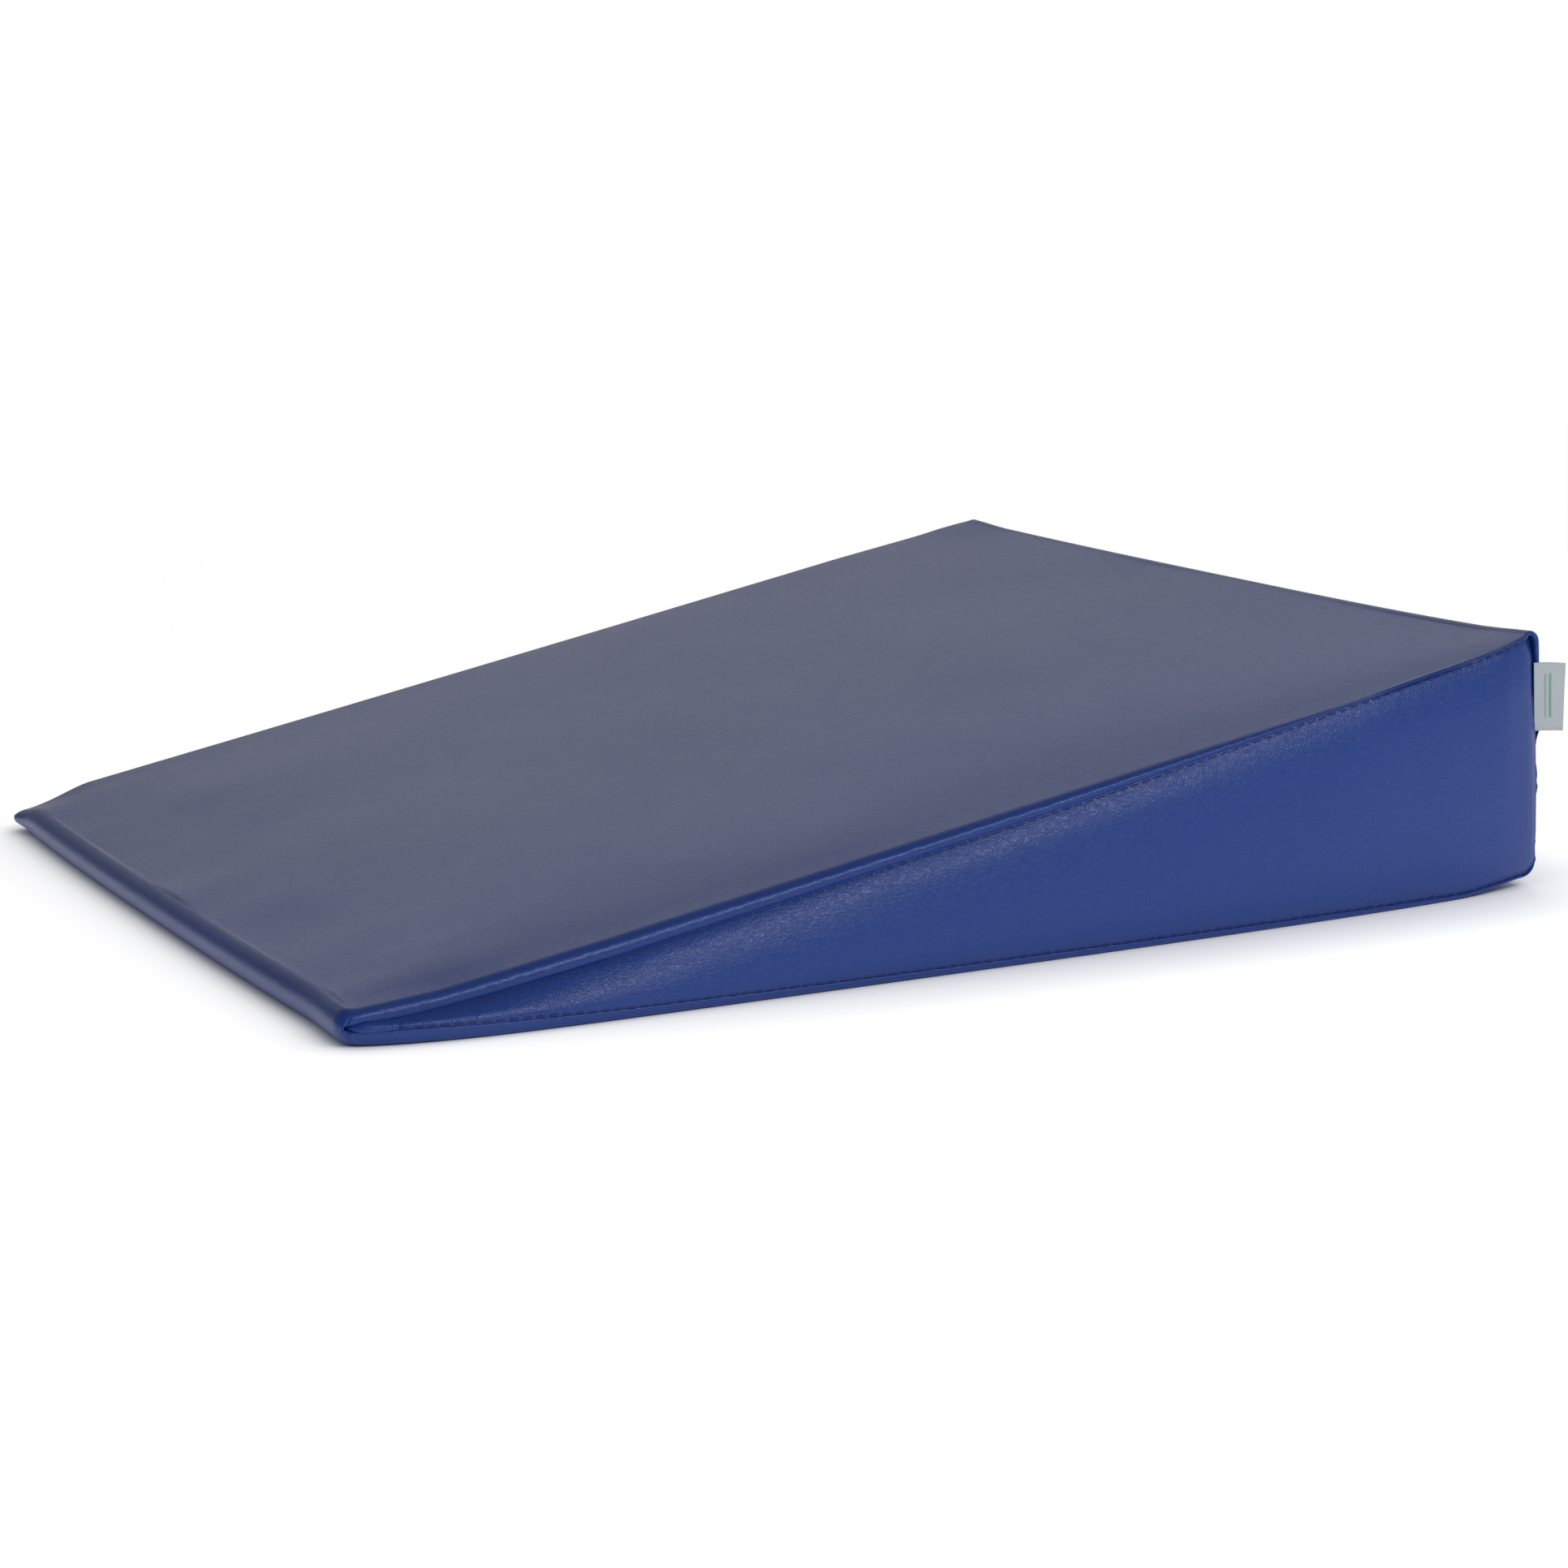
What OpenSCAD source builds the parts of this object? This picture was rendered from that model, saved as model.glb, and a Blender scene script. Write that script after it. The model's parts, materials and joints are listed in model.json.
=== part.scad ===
// Wedge cushion: a foam block in a sewn vinyl cover that opens with a zip across the back.
// Millimetres. Nose at -X, tall back at +X, width along Y, +Z up.
// The origin is the middle of the base, on the surface that the cushion lies on.

/* [Foam] */
// Length of the foam block, nose to back
foam_l = 500; // [300:1:800]
// Width of the foam block
foam_w = 500; // [200:1:900]
// Height of the foam block at its back
foam_h = 100; // [75:1:200]
// Radius that the block's long edges take inside the cover
edge_r = 6; // [4:0.5:10]

/* [Cover] */
// Thickness of the vinyl sheet
vinyl_t = 1.2; // [0.8:0.05:1.6]
// How far the wrap panel laps over each side panel
lap_w = 5.6; // [4:0.1:8]
// Width of the raised fold along the lap's free edge
fold_w = 2.6; // [1.5:0.1:3.5]
// Height of that fold above the lap
fold_t = 0.6; // [0.3:0.1:1.2]
// Height of the doubled hem beside the zip
hem_h = 12; // [8:1:18]

/* [Stitching] */
// Diameter of the sewing thread
thread_d = 0.8; // [0.4:0.1:1.2]
// Distance from one stitch to the next
stitch_pitch = 5; // [3:0.5:8]
// Length between two stitches where the thread is down in the vinyl
stitch_gap = 0.7; // [0.4:0.1:1.5]
// Width of the open ditch between the thread and the lap's fold
ditch_w = 0.4; // [0.2:0.1:1]
// Distance from the zip hem's edge to its row of stitches
hem_stitch_in = 3; // [2:0.5:6]

/* [Zip] */
// Height of the zip's centre line above the base
zip_z = 54; // [40:1:60]
// Width of the closed chain
chain_w = 6; // [4:0.5:9]
// Thickness of the teeth on the tape
teeth_t = 2; // [1.2:0.1:3]
// Distance from one tooth to the next on one side
tooth_pitch = 1.5; // [1:0.1:3]
// Width of one tooth
tooth_w = 0.9; // [0.5:0.05:1.2]
// Width of the straight slit between the two rows of teeth
slit_w = 1; // [0.8:0.1:1.4]
// Width of each woven tape
tape_w = 15; // [10:0.5:16]
// Thickness of the woven tape
tape_t = 0.6; // [0.4:0.1:0.9]

/* [Slider and pull] */
// Length of the slider's body
slider_l = 11; // [8:0.5:16]
// Thickness of each of the slider's two plates
plate_t = 1.2; // [0.8:0.1:1.6]
// Thickness of the guides along the slider's sides
guide_t = 0.8; // [0.6:0.1:1.2]
// Free space between the slider and the teeth and tapes
slide_clear = 0.3; // [0.2:0.05:0.5]
// Free space between the slider and the cover's hems
hem_clear = 0.5; // [0.3:0.1:1]
// Free space between the closed slider and the side panel
end_clear = 1; // [0.5:0.5:5]
// Thickness of the post that parts the teeth
neck_t = 0.5; // [0.3:0.05:0.7]
// Length of the pull, from its pin to its tip
pull_l = 28; // [18:1:40]
// Width of the pull
pull_w = 7; // [5:0.5:10]
// Thickness of the pull
pull_t = 1.6; // [1:0.1:2]
// Diameter of the pull's pin
pin_d = 1.3; // [1:0.1:2]
// Clearance of the pin in the slider's crown, on the diameter
pin_clear = 0.2; // [0.1:0.05:0.6]

/* [Label] */
// Height of the folded label
label_h = 30; // [15:1:40]
// How far the label reaches past the back of the cover
label_reach = 11; // [5:1:20]
// Distance from the top of the cushion down to the label
label_drop = 9.5; // [9:0.5:20]
// Thickness of one layer of the label
ribbon_t = 0.3; // [0.2:0.05:0.5]

/* [Hidden] */
$fn = 32;
arc_steps = 10;
past = 1;                      // how far a cutting solid runs past what it cuts
least_r = 0.2;                 // smallest corner radius of a cut outline
left = -1;
right = 1;

outer_r = edge_r + vinyl_t;
slope = atan((foam_h - 2 * edge_r) / (foam_l - 2 * edge_r));
back_x = foam_l / 2;
top_z = foam_h + 2 * vinyl_t;
panel_y = foam_w / 2 + vinyl_t;        // outer face of a side panel
lap_y = panel_y + vinyl_t;             // outer face of the lap
fold_y = lap_y + fold_t;               // outer face of the lap's fold
lap_d = outer_r - lap_w;               // the lap's free edge, as a distance from the corner centres
seam_d = lap_d - ditch_w - thread_d / 2;
hem_x = back_x + 2 * vinyl_t;

slider_w = chain_w + 2 * (slide_clear + guide_t);
gap_w = slider_w + 2 * hem_clear;      // opening between the cover's two hems
inner_plate_x = back_x - tape_t - slide_clear;
outer_plate_x = back_x + teeth_t + slide_clear;
slider_y = foam_w / 2 - end_clear - slider_l / 2;
pin_r = pin_d / 2;
bore_r = (pin_d + pin_clear) / 2;
crown_wall = 0.6;
crown_w = 1.6;
crown_l = 6.4;
pin_x = outer_plate_x + plate_t + bore_r + crown_wall;
crown_top = pin_x + bore_r + crown_wall;
arm_w = 1.3;
arm_gap = 0.3;
arm_l = 4.6;
arm_r = bore_r + crown_wall - arm_gap;

// The profile's three corner centres, moved inwards by e.
function nose_at(e) = [-back_x + edge_r + e * (1 + 1 / cos(slope)) / tan(slope), outer_r + e];
function base_at(e) = [back_x - edge_r - e, outer_r + e];
function top_at(e) = [back_x - edge_r - e, top_z - outer_r - e * (tan(slope) + 1 / cos(slope))];

function arc(c, r, from, to) =
    [for (i = [0:arc_steps]) let (a = from + (to - from) * i / arc_steps) c + r * [cos(a), sin(a)]];

// The wedge's profile at a distance d outside the corner centres.
function outline(d) =
    let (r = max(d, least_r), e = r - d)
    concat(arc(nose_at(e), r, 90 + slope, 270),
           arc(base_at(e), r, 270, 360),
           arc(top_at(e), r, 0, 90 + slope));

module wedge(d, w) {
    rotate([90, 0, 0]) linear_extrude(w, center = true) polygon(outline(d));
}

// A box from its lowest corner to its highest corner.
module block(low, high) {
    translate(low) cube(high - low);
}

// A shape drawn in Y and Z, made t thick from x towards +X.
module plate(x, t) {
    translate([x, 0, 0]) rotate([90, 0, 90]) linear_extrude(t) children();
}

module stitch() {
    cylinder(h = stitch_pitch - stitch_gap, d = thread_d, center = true);
}

// Stitches along one straight run of a side seam, from point p to point q in X and Z.
module seam_run(p, q) {
    run = norm(q - p);
    count = floor(run / stitch_pitch);
    dir = (q - p) / run;
    for (i = [0:count - 1]) {
        at = p + dir * ((run - count * stitch_pitch) / 2 + (i + 0.5) * stitch_pitch);
        translate([at[0], 0, at[1]])
            rotate([0, 90 - atan2(dir[1], dir[0]), 0]) stitch();
    }
}

// The stitches round one side: base, back and slope.
module side_seam(side) {
    e = max(0, -seam_d);
    out = max(0, seam_d);
    up = out * [-sin(slope), cos(slope)];
    translate([0, side * (panel_y + thread_d / 2), 0]) {
        seam_run(nose_at(e) + [0, -out], base_at(e) + [0, -out]);
        seam_run(base_at(e) + [out, 0], top_at(e) + [out, 0]);
        seam_run(top_at(e) + up, nose_at(e) + up);
    }
}

// The straight row of stitches that holds one zip tape, above (1) or below (-1) the chain.
module hem_seam(way) {
    count = floor(foam_w / stitch_pitch);
    for (i = [0:count - 1])
        translate([hem_x + thread_d / 2, (i + 0.5 - count / 2) * stitch_pitch,
                   zip_z + way * (gap_w / 2 + hem_stitch_in)])
            rotate([90, 0, 0]) stitch();
}

module foam_core() {
    channel_x = inner_plate_x - plate_t - past;
    color("lightyellow") difference() {
        wedge(edge_r, foam_w);
        block([back_x - tape_t, -foam_w / 2 - past, zip_z - tape_w - slit_w],
              [back_x + past, foam_w / 2 + past, zip_z + tape_w + slit_w]);
        block([channel_x, -foam_w / 2 - past, zip_z - gap_w / 2],
              [back_x, foam_w / 2 + past, zip_z + gap_w / 2]);
    }
}

module wrap_panel() {
    color("royalblue") difference() {
        union() {
            wedge(outer_r, 2 * lap_y);
            wedge(lap_d + fold_w, 2 * fold_y);
            block([back_x - edge_r, -foam_w / 2, zip_z - gap_w / 2 - hem_h],
                  [hem_x, foam_w / 2, zip_z + gap_w / 2 + hem_h]);
        }
        wedge(edge_r, 2 * panel_y);
        wedge(lap_d, 2 * fold_y + past);
        block([back_x - lap_w, -fold_y - past, zip_z - gap_w / 2],
              [hem_x + past, fold_y + past, zip_z + gap_w / 2]);
    }
}

module side_panel(side) {
    color("mediumblue") translate([0, side * (panel_y - vinyl_t / 2), 0]) wedge(edge_r, vinyl_t);
}

module side_panel_left() {
    side_panel(left);
}

module side_panel_right() {
    side_panel(right);
}

module seam_thread_left() {
    color("midnightblue") side_seam(left);
}

module seam_thread_right() {
    color("midnightblue") side_seam(right);
}

module zip_tape(way) {
    color("navy") translate([back_x - tape_t / 2, 0, zip_z + way * (slit_w + tape_w) / 2])
        cube([tape_t, foam_w, tape_w], center = true);
}

module zip_tape_upper() {
    zip_tape(1);
}

module zip_tape_lower() {
    zip_tape(-1);
}

// One row of teeth standing on a rail; phase is the first tooth's place, in pitches.
module teeth_row(way, phase) {
    row_l = 2 * lap_y;
    tip = slit_w / 2;
    rail = chain_w / 2 - (chain_w - slit_w) / 5;
    count = floor(row_l / tooth_pitch) - 1;
    teeth = [for (i = [0:count - 1]) let (y = (i + phase) * tooth_pitch - row_l / 2)
             each [[y, rail], [y, tip], [y + tooth_w, tip], [y + tooth_w, rail]]];
    outer = [[row_l / 2, rail], [row_l / 2, chain_w / 2], [-row_l / 2, chain_w / 2], [-row_l / 2, rail]];
    color("darkblue") translate([0, 0, zip_z])
        plate(back_x, teeth_t) mirror([0, way > 0 ? 0 : 1]) polygon(concat(teeth, outer));
}

module zip_teeth_upper() {
    teeth_row(1, 0.25);
}

module zip_teeth_lower() {
    teeth_row(-1, 0.75);
}

module zip_thread_upper() {
    color("midnightblue") hem_seam(1);
}

module zip_thread_lower() {
    color("midnightblue") hem_seam(-1);
}

// Outline of the slider's plates in Y and Z, wider at the end that parts the teeth.
module slider_outline() {
    front = slider_l / 2;
    wide = slider_w / 2;
    corner = 1.5;
    polygon([[-front, -wide + corner], [-front + corner, -wide], [front - corner, -wide],
             [front, -wide + corner], [front, wide - corner], [front - corner, wide],
             [-front + corner, wide], [-front, wide - corner]]);
}

module zip_slider() {
    guide_l = slider_l - 4;
    neck_y = slider_l / 2 - 2.5;
    color("silver") translate([0, slider_y, zip_z]) {
        plate(inner_plate_x - plate_t, plate_t) slider_outline();
        plate(outer_plate_x, plate_t) slider_outline();
        for (way = [-1, 1]) {
            side = way * (slider_w - guide_t) / 2;
            block([back_x + slide_clear, -guide_l / 2, side - guide_t / 2],
                  [outer_plate_x + plate_t / 2, guide_l / 2, side + guide_t / 2]);
        }
        block([inner_plate_x - plate_t / 2, neck_y - 1, -neck_t / 2],
              [outer_plate_x + plate_t / 2, neck_y + 1, neck_t / 2]);
        translate([0, 0, -crown_w / 2]) linear_extrude(crown_w) difference() {
            polygon([[outer_plate_x + plate_t / 2, -crown_l / 2],
                     [outer_plate_x + plate_t / 2, crown_l / 2],
                     [pin_x, crown_l / 2], [crown_top, crown_l / 4],
                     [crown_top, -crown_l / 4], [pin_x, -crown_l / 2]]);
            translate([pin_x, 0]) circle(bore_r);
        }
    }
}

module zip_pull() {
    hole_d = 3;
    tip_r = pull_w / 2;
    color("gainsboro") translate([pin_x, slider_y, zip_z]) {
        cylinder(r = pin_r, h = crown_w + 2 * (arm_gap + arm_w), center = true);
        for (way = [-1, 1]) {
            side = way * (crown_w / 2 + arm_gap + arm_w / 2);
            translate([0, 0, side]) cylinder(r = arm_r, h = arm_w, center = true);
            block([-pull_t / 2, -arm_l - past, side - arm_w / 2],
                  [pull_t / 2, 0, side + arm_w / 2]);
        }
        difference() {
            union() {
                block([-pull_t / 2, tip_r - pull_l, -pull_w / 2], [pull_t / 2, -arm_l, pull_w / 2]);
                translate([0, tip_r - pull_l, 0]) rotate([0, 90, 0])
                    cylinder(r = tip_r, h = pull_t, center = true);
            }
            translate([0, tip_r - pull_l, 0]) rotate([0, 90, 0])
                cylinder(d = hole_d, h = pull_t + 2 * past, center = true);
        }
    }
}

// A ribbon folded back on itself, held in the left back seam and laid over the fold.
module label() {
    seam_x = back_x - edge_r + seam_d;
    root = [seam_x - thread_d, back_x - edge_r + lap_d - ditch_w / 4];
    tip_x = back_x + vinyl_t + label_reach;
    thread_y = panel_y + thread_d;
    label_y = fold_y + 3 * ribbon_t;
    color("white") translate([0, 0, top_z - label_drop - label_h]) linear_extrude(label_h)
        difference() {
            polygon([[root[0], -thread_y], [root[1], -thread_y], [root[1], -fold_y],
                     [tip_x, -fold_y], [tip_x, -label_y], [root[0], -label_y]]);
            translate([root[1] + ribbon_t, -label_y + ribbon_t])
                square([tip_x - root[1] - 2 * ribbon_t, ribbon_t]);
        }
}

foam_core();
wrap_panel();
side_panel_left();
side_panel_right();
seam_thread_left();
seam_thread_right();
zip_tape_upper();
zip_tape_lower();
zip_teeth_upper();
zip_teeth_lower();
zip_thread_upper();
zip_thread_lower();
zip_slider();
zip_pull();
label();
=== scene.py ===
import functools
import json
import math

import bpy
import numpy as np
from bpy.props import FloatProperty, FloatVectorProperty, IntProperty, PointerProperty
from mathutils import Matrix, Vector
from mathutils.bvhtree import BVHTree


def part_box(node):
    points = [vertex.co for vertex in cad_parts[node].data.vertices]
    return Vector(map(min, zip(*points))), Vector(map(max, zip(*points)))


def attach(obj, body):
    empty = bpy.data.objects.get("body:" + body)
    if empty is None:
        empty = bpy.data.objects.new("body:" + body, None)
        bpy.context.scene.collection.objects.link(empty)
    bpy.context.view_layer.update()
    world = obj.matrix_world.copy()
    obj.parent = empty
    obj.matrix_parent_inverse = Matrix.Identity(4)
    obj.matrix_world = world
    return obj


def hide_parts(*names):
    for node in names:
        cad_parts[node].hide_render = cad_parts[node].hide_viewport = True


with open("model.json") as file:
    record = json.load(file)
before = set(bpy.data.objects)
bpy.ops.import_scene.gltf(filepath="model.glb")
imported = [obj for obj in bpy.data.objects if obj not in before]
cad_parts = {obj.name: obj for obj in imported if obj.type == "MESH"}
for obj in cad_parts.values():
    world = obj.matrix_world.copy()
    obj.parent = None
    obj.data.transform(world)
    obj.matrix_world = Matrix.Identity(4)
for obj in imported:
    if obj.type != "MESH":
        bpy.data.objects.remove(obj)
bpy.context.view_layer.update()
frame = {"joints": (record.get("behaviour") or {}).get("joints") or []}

bl_info = {
    "name": "Wedge cushion",
    "version": (1, 0, 0),
    "blender": (4, 5, 0),
    "location": "View3D > Sidebar > Wedge",
    "description": "A foam wedge in a leather-look cover with topstitched side seams and a zip",
    "category": "Object",
}

MM = 0.001
LEFT, RIGHT = -1, 1
SIDE_NAMES = {LEFT: "left", RIGHT: "right"}
TUBE_FACETS = 8  # sides of a thread or a tooth
BEVEL_STEPS = 4  # rings in a rounded rim
VINYL_THICKNESS = 1.1 * MM
# the stretches of the cover's side view, in order
HIGH_BACK, PEAK, SLOPE, NOSE, BASE, HEEL, LOW_BACK = range(7)


def cad_span(node):
    """The lowest and highest corners of a CAD node, as arrays in metres."""
    low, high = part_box(node)
    return np.array(low), np.array(high)


# --- sizes and colours that a user would change ---


class CoverSizes(bpy.types.PropertyGroup):
    """How the cover swells and folds round the foam."""

    base_bulge: FloatProperty(
        name="Base bulge", description="How far a side's lower seam bows outwards at mid length",
        default=14 * MM, min=0, max=20 * MM, unit="LENGTH")
    slope_bulge: FloatProperty(
        name="Slope bulge", description="How far a side's upper seam bows outwards at mid length",
        default=8.5 * MM, min=0, max=20 * MM, unit="LENGTH")
    side_crown: FloatProperty(
        name="Side crown", description="How far a side panel stands out between its seams",
        default=3.2 * MM, min=0, max=8 * MM, unit="LENGTH")
    nose_swell: FloatProperty(
        name="Nose swell", description="How far the thin edge bows forwards at mid width",
        default=4.1 * MM, min=0, max=10 * MM, unit="LENGTH")
    back_sag: FloatProperty(
        name="Back sag", description="How far the tall edge dips between its corners",
        default=1.9 * MM, min=0, max=5 * MM, unit="LENGTH")
    ridge_width: FloatProperty(
        name="Ridge width", description="Width of the thin fold that the stitches raise",
        default=1.1 * MM, min=0.5 * MM, max=4 * MM, unit="LENGTH")
    ridge_height: FloatProperty(
        name="Ridge height", description="How far that fold stands out",
        default=0.15 * MM, min=0, max=2 * MM, unit="LENGTH")
    shoulder: FloatProperty(
        name="Shoulder", description="How far a side panel swells out of the valley at its seams",
        default=1.4 * MM, min=0, max=5 * MM, unit="LENGTH")
    heel_lift: FloatProperty(
        name="Heel lift", description="How far the base rises at the corners of the tall end",
        default=4.6 * MM, min=0, max=8 * MM, unit="LENGTH")
    pucker: FloatProperty(
        name="Pucker", description="Depth of the small creases that run into the seams",
        default=0.14 * MM, min=0, max=1 * MM, unit="LENGTH")
    dent: FloatProperty(
        name="Dent", description="Depth of the soft waves in the panels",
        default=0.35 * MM, min=0, max=2 * MM, unit="LENGTH")


class SewingSizes(bpy.types.PropertyGroup):
    """Thread, stitches and zip."""

    stitch_pitch: FloatProperty(
        name="Stitch pitch", description="Distance from stitch to stitch",
        default=5 * MM, min=2 * MM, max=10 * MM, unit="LENGTH")
    stitch_length: FloatProperty(
        name="Stitch length", description="Length of thread that shows in each stitch",
        default=4.5 * MM, min=1 * MM, max=9 * MM, unit="LENGTH")
    thread_width: FloatProperty(
        name="Thread width", description="Diameter of the sewing thread",
        default=0.66 * MM, min=0.3 * MM, max=1.5 * MM, unit="LENGTH")
    tooth_pitch: FloatProperty(
        name="Tooth pitch", description="Distance from zip tooth to zip tooth along one side",
        default=1.5 * MM, min=0.8 * MM, max=3 * MM, unit="LENGTH")
    seed: IntProperty(
        name="Seed", description="Start of the random creases, waves and stitch wander",
        default=11, min=0)


class FinishColours(bpy.types.PropertyGroup):
    """Colours of the finishes, as linear values."""

    vinyl: FloatVectorProperty(
        name="Vinyl", description="Artificial leather of the cover", subtype="COLOR",
        default=(0.010, 0.044, 0.236), min=0, max=1)
    thread: FloatVectorProperty(
        name="Thread", description="Sewing thread", subtype="COLOR",
        default=(0.003, 0.009, 0.085), min=0, max=1)
    foam: FloatVectorProperty(
        name="Foam", description="Open-cell foam of the core", subtype="COLOR",
        default=(0.80, 0.72, 0.50), min=0, max=1)
    tape: FloatVectorProperty(
        name="Zip tape", description="Woven tape of the zip", subtype="COLOR",
        default=(0.010, 0.020, 0.095), min=0, max=1)
    teeth: FloatVectorProperty(
        name="Zip teeth", description="Moulded coil of the zip", subtype="COLOR",
        default=(0.010, 0.016, 0.075), min=0, max=1)
    metal: FloatVectorProperty(
        name="Zip metal", description="Nickel of the slider and pull", subtype="COLOR",
        default=(0.60, 0.59, 0.57), min=0, max=1)
    # painted shade: the pale ribbon's colour is set darker to hold the shade the tag sits in
    ribbon: FloatVectorProperty(
        name="Ribbon", description="Satin ribbon of the side tag", subtype="COLOR",
        default=(0.42, 0.47, 0.50), min=0, max=1)
    band: FloatVectorProperty(
        name="Tag band", description="Woven band on the side tag", subtype="COLOR",
        default=(0.10, 0.30, 0.20), min=0, max=1)
    floor: FloatVectorProperty(
        name="Floor", description="Studio floor and backdrop", subtype="COLOR",
        default=(0.93, 0.93, 0.93), min=0, max=1)


class StudioSettings(bpy.types.PropertyGroup):
    """Camera and lights."""

    distance: FloatProperty(
        name="Distance", description="From the camera to the point it looks at",
        default=1.9656, min=0.5, unit="LENGTH")
    azimuth: FloatProperty(
        name="Azimuth", description="Direction of the camera round the cushion",
        default=math.radians(-23.34), subtype="ANGLE")
    elevation: FloatProperty(
        name="Elevation", description="Height of the camera above the floor, as an angle",
        default=math.radians(10.18), subtype="ANGLE")
    roll: FloatProperty(
        name="Roll", description="Turn of the camera about its own axis",
        default=math.radians(-2.238), subtype="ANGLE")
    lens: FloatProperty(
        name="Lens", description="Focal length", default=94.83, min=10, unit="CAMERA")
    aim: FloatVectorProperty(
        name="Aim", description="Point on the floor that the camera looks at",
        default=(0.0938, 0.1451, 0.0), subtype="TRANSLATION", unit="LENGTH")
    key_power: FloatProperty(
        name="Key light", description="Power of the large soft light beside the camera",
        default=24.0, min=0, unit="POWER")
    rim_power: FloatProperty(
        name="Rim light", description="Power of the soft light behind the tall end",
        default=2.0, min=0, unit="POWER")
    sky: FloatProperty(
        name="Sky", description="Strength of the even light from all round",
        default=1.0, min=0)


def cover():
    return bpy.context.scene.wedge_cover


def sewing():
    return bpy.context.scene.wedge_sewing


def colours():
    return bpy.context.scene.wedge_colours


def studio():
    return bpy.context.scene.wedge_studio


# --- small maths ---


def smooth(low, high, value):
    """0 below low, 1 above high, and a soft step between."""
    t = np.clip((np.asarray(value, float) - low) / (high - low), 0, 1)
    return t * t * (3 - 2 * t)


def softened(values, count):
    """values with their corners rounded over about count samples."""
    kernel = np.hanning(count + 2)[1:-1]
    kernel /= kernel.sum()
    padded = np.pad(values, count // 2, mode="edge")
    return np.convolve(padded, kernel, mode="same")[count // 2 : count // 2 + len(values)]


def unit(vectors):
    """The vectors, each made one long."""
    length = np.linalg.norm(vectors, axis=-1, keepdims=True)
    return vectors / np.maximum(length, 1e-12)


def ripple(along, scale, seed, waves=14):
    """Smooth random waves along one line, about scale long, from -1 to 1 or so."""
    rng = np.random.default_rng(seed)
    turns = 2 * math.pi / (scale * rng.uniform(0.6, 1.9, waves))
    starts = rng.uniform(0, 2 * math.pi, waves)
    total = sum(np.sin(along * k + s) for k, s in zip(turns, starts))
    return total * (1.4 / waves ** 0.5) * 0.5


def swell(across, along, scale, seed, stretch=1.0, waves=18):
    """Smooth random waves over a surface, longer by stretch along its second direction."""
    rng = np.random.default_rng(seed)
    total = 0
    for _ in range(waves):
        heading = rng.uniform(0, math.pi)
        turn = 2 * math.pi / (scale * rng.uniform(0.7, 1.7))
        start = rng.uniform(0, 2 * math.pi)
        total = total + np.sin(
            across * math.cos(heading) * turn + along * math.sin(heading) * turn / stretch + start)
    return total * (1.4 / waves ** 0.5) * 0.5


# --- meshes ---


def grid_faces(rows, columns, first=0, flip=False):
    """The quads of a grid of points, of which first is the first."""
    r, c = np.meshgrid(np.arange(rows - 1), np.arange(columns - 1), indexing="ij")
    a = first + (r * columns + c).ravel()
    quads = np.stack([a, a + 1, a + columns + 1, a + columns], axis=1)
    return quads[:, ::-1] if flip else quads


def ring_faces(rings, count, joined=False):
    """Quads from ring to ring, of count points each. Joined, the last ring meets the first;
    otherwise a face closes each end."""
    r, i = np.meshgrid(np.arange(rings - (not joined)), np.arange(count), indexing="ij")
    here, there = r.ravel() * count, (r.ravel() + 1) % rings * count
    i, j = i.ravel(), (i.ravel() + 1) % count
    faces = np.stack([here + i, here + j, there + j, there + i], axis=1).tolist()
    if not joined:
        faces.append(list(range(count))[::-1])
        faces.append(list(range((rings - 1) * count, rings * count)))
    return faces


def grid_normals(points):
    """The unit normals of a grid of points."""
    down = np.gradient(points, axis=0)
    across = np.gradient(points, axis=1)
    return unit(np.cross(across, down))


def facing(grid, way, row):
    """The grid, turned over where its normals would face against way."""
    normal = grid_normals(grid)[row, grid.shape[1] // 2]
    return grid if np.dot(normal, way) > 0 else grid[:, ::-1]


def shell(outer, thickness, keep):
    """A closed thin panel: the outer grid, an inner one at the kept columns, and the rims."""
    rows, columns = outer.shape[:2]
    inner = (outer - thickness * grid_normals(outer))[:, keep]
    kept = len(keep)
    first = rows * columns
    faces = [grid_faces(rows, columns), grid_faces(rows, kept, first, flip=True)]
    r = np.arange(rows - 1)
    near, far = r * columns, first + r * kept
    faces.append(np.stack([near, near + columns, far + kept, far], axis=1))
    near, far = near + columns - 1, far + kept - 1
    faces.append(np.stack([near, far, far + kept, near + columns], axis=1))
    polygons = np.concatenate(faces).tolist()
    top = list(range(columns))
    under = list(range(first, first + kept))
    polygons.append(under + top[::-1])
    last, below = (rows - 1) * columns, first + (rows - 1) * kept
    polygons.append([last + i for i in range(columns)] + [below + i for i in range(kept)][::-1])
    return np.concatenate([outer.reshape(-1, 3), inner.reshape(-1, 3)]), polygons


def sweep(centres, axes, widths, heights):
    """Closed tubes along the centres (tubes, rings, 3). axes are each ring's two directions."""
    across, rise = axes
    tubes, rings = centres.shape[:2]
    turn = np.arange(TUBE_FACETS) * 2 * math.pi / TUBE_FACETS
    circle = (
        np.cos(turn)[:, None] * (across * widths[..., None])[:, :, None, :]
        + np.sin(turn)[:, None] * (rise * heights[..., None])[:, :, None, :]
    )
    points = centres[:, :, None, :] + circle
    tube_faces = ring_faces(rings, TUBE_FACETS)
    starts = range(0, tubes * rings * TUBE_FACETS, rings * TUBE_FACETS)
    faces = [[start + i for i in face] for start in starts for face in tube_faces]
    return points.reshape(-1, 3), faces


def towards(grid, x=0.0, y=0.0, z=0.0):
    """One direction, repeated for every point of the grid."""
    return np.zeros_like(grid) + np.array([x, y, z])


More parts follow.
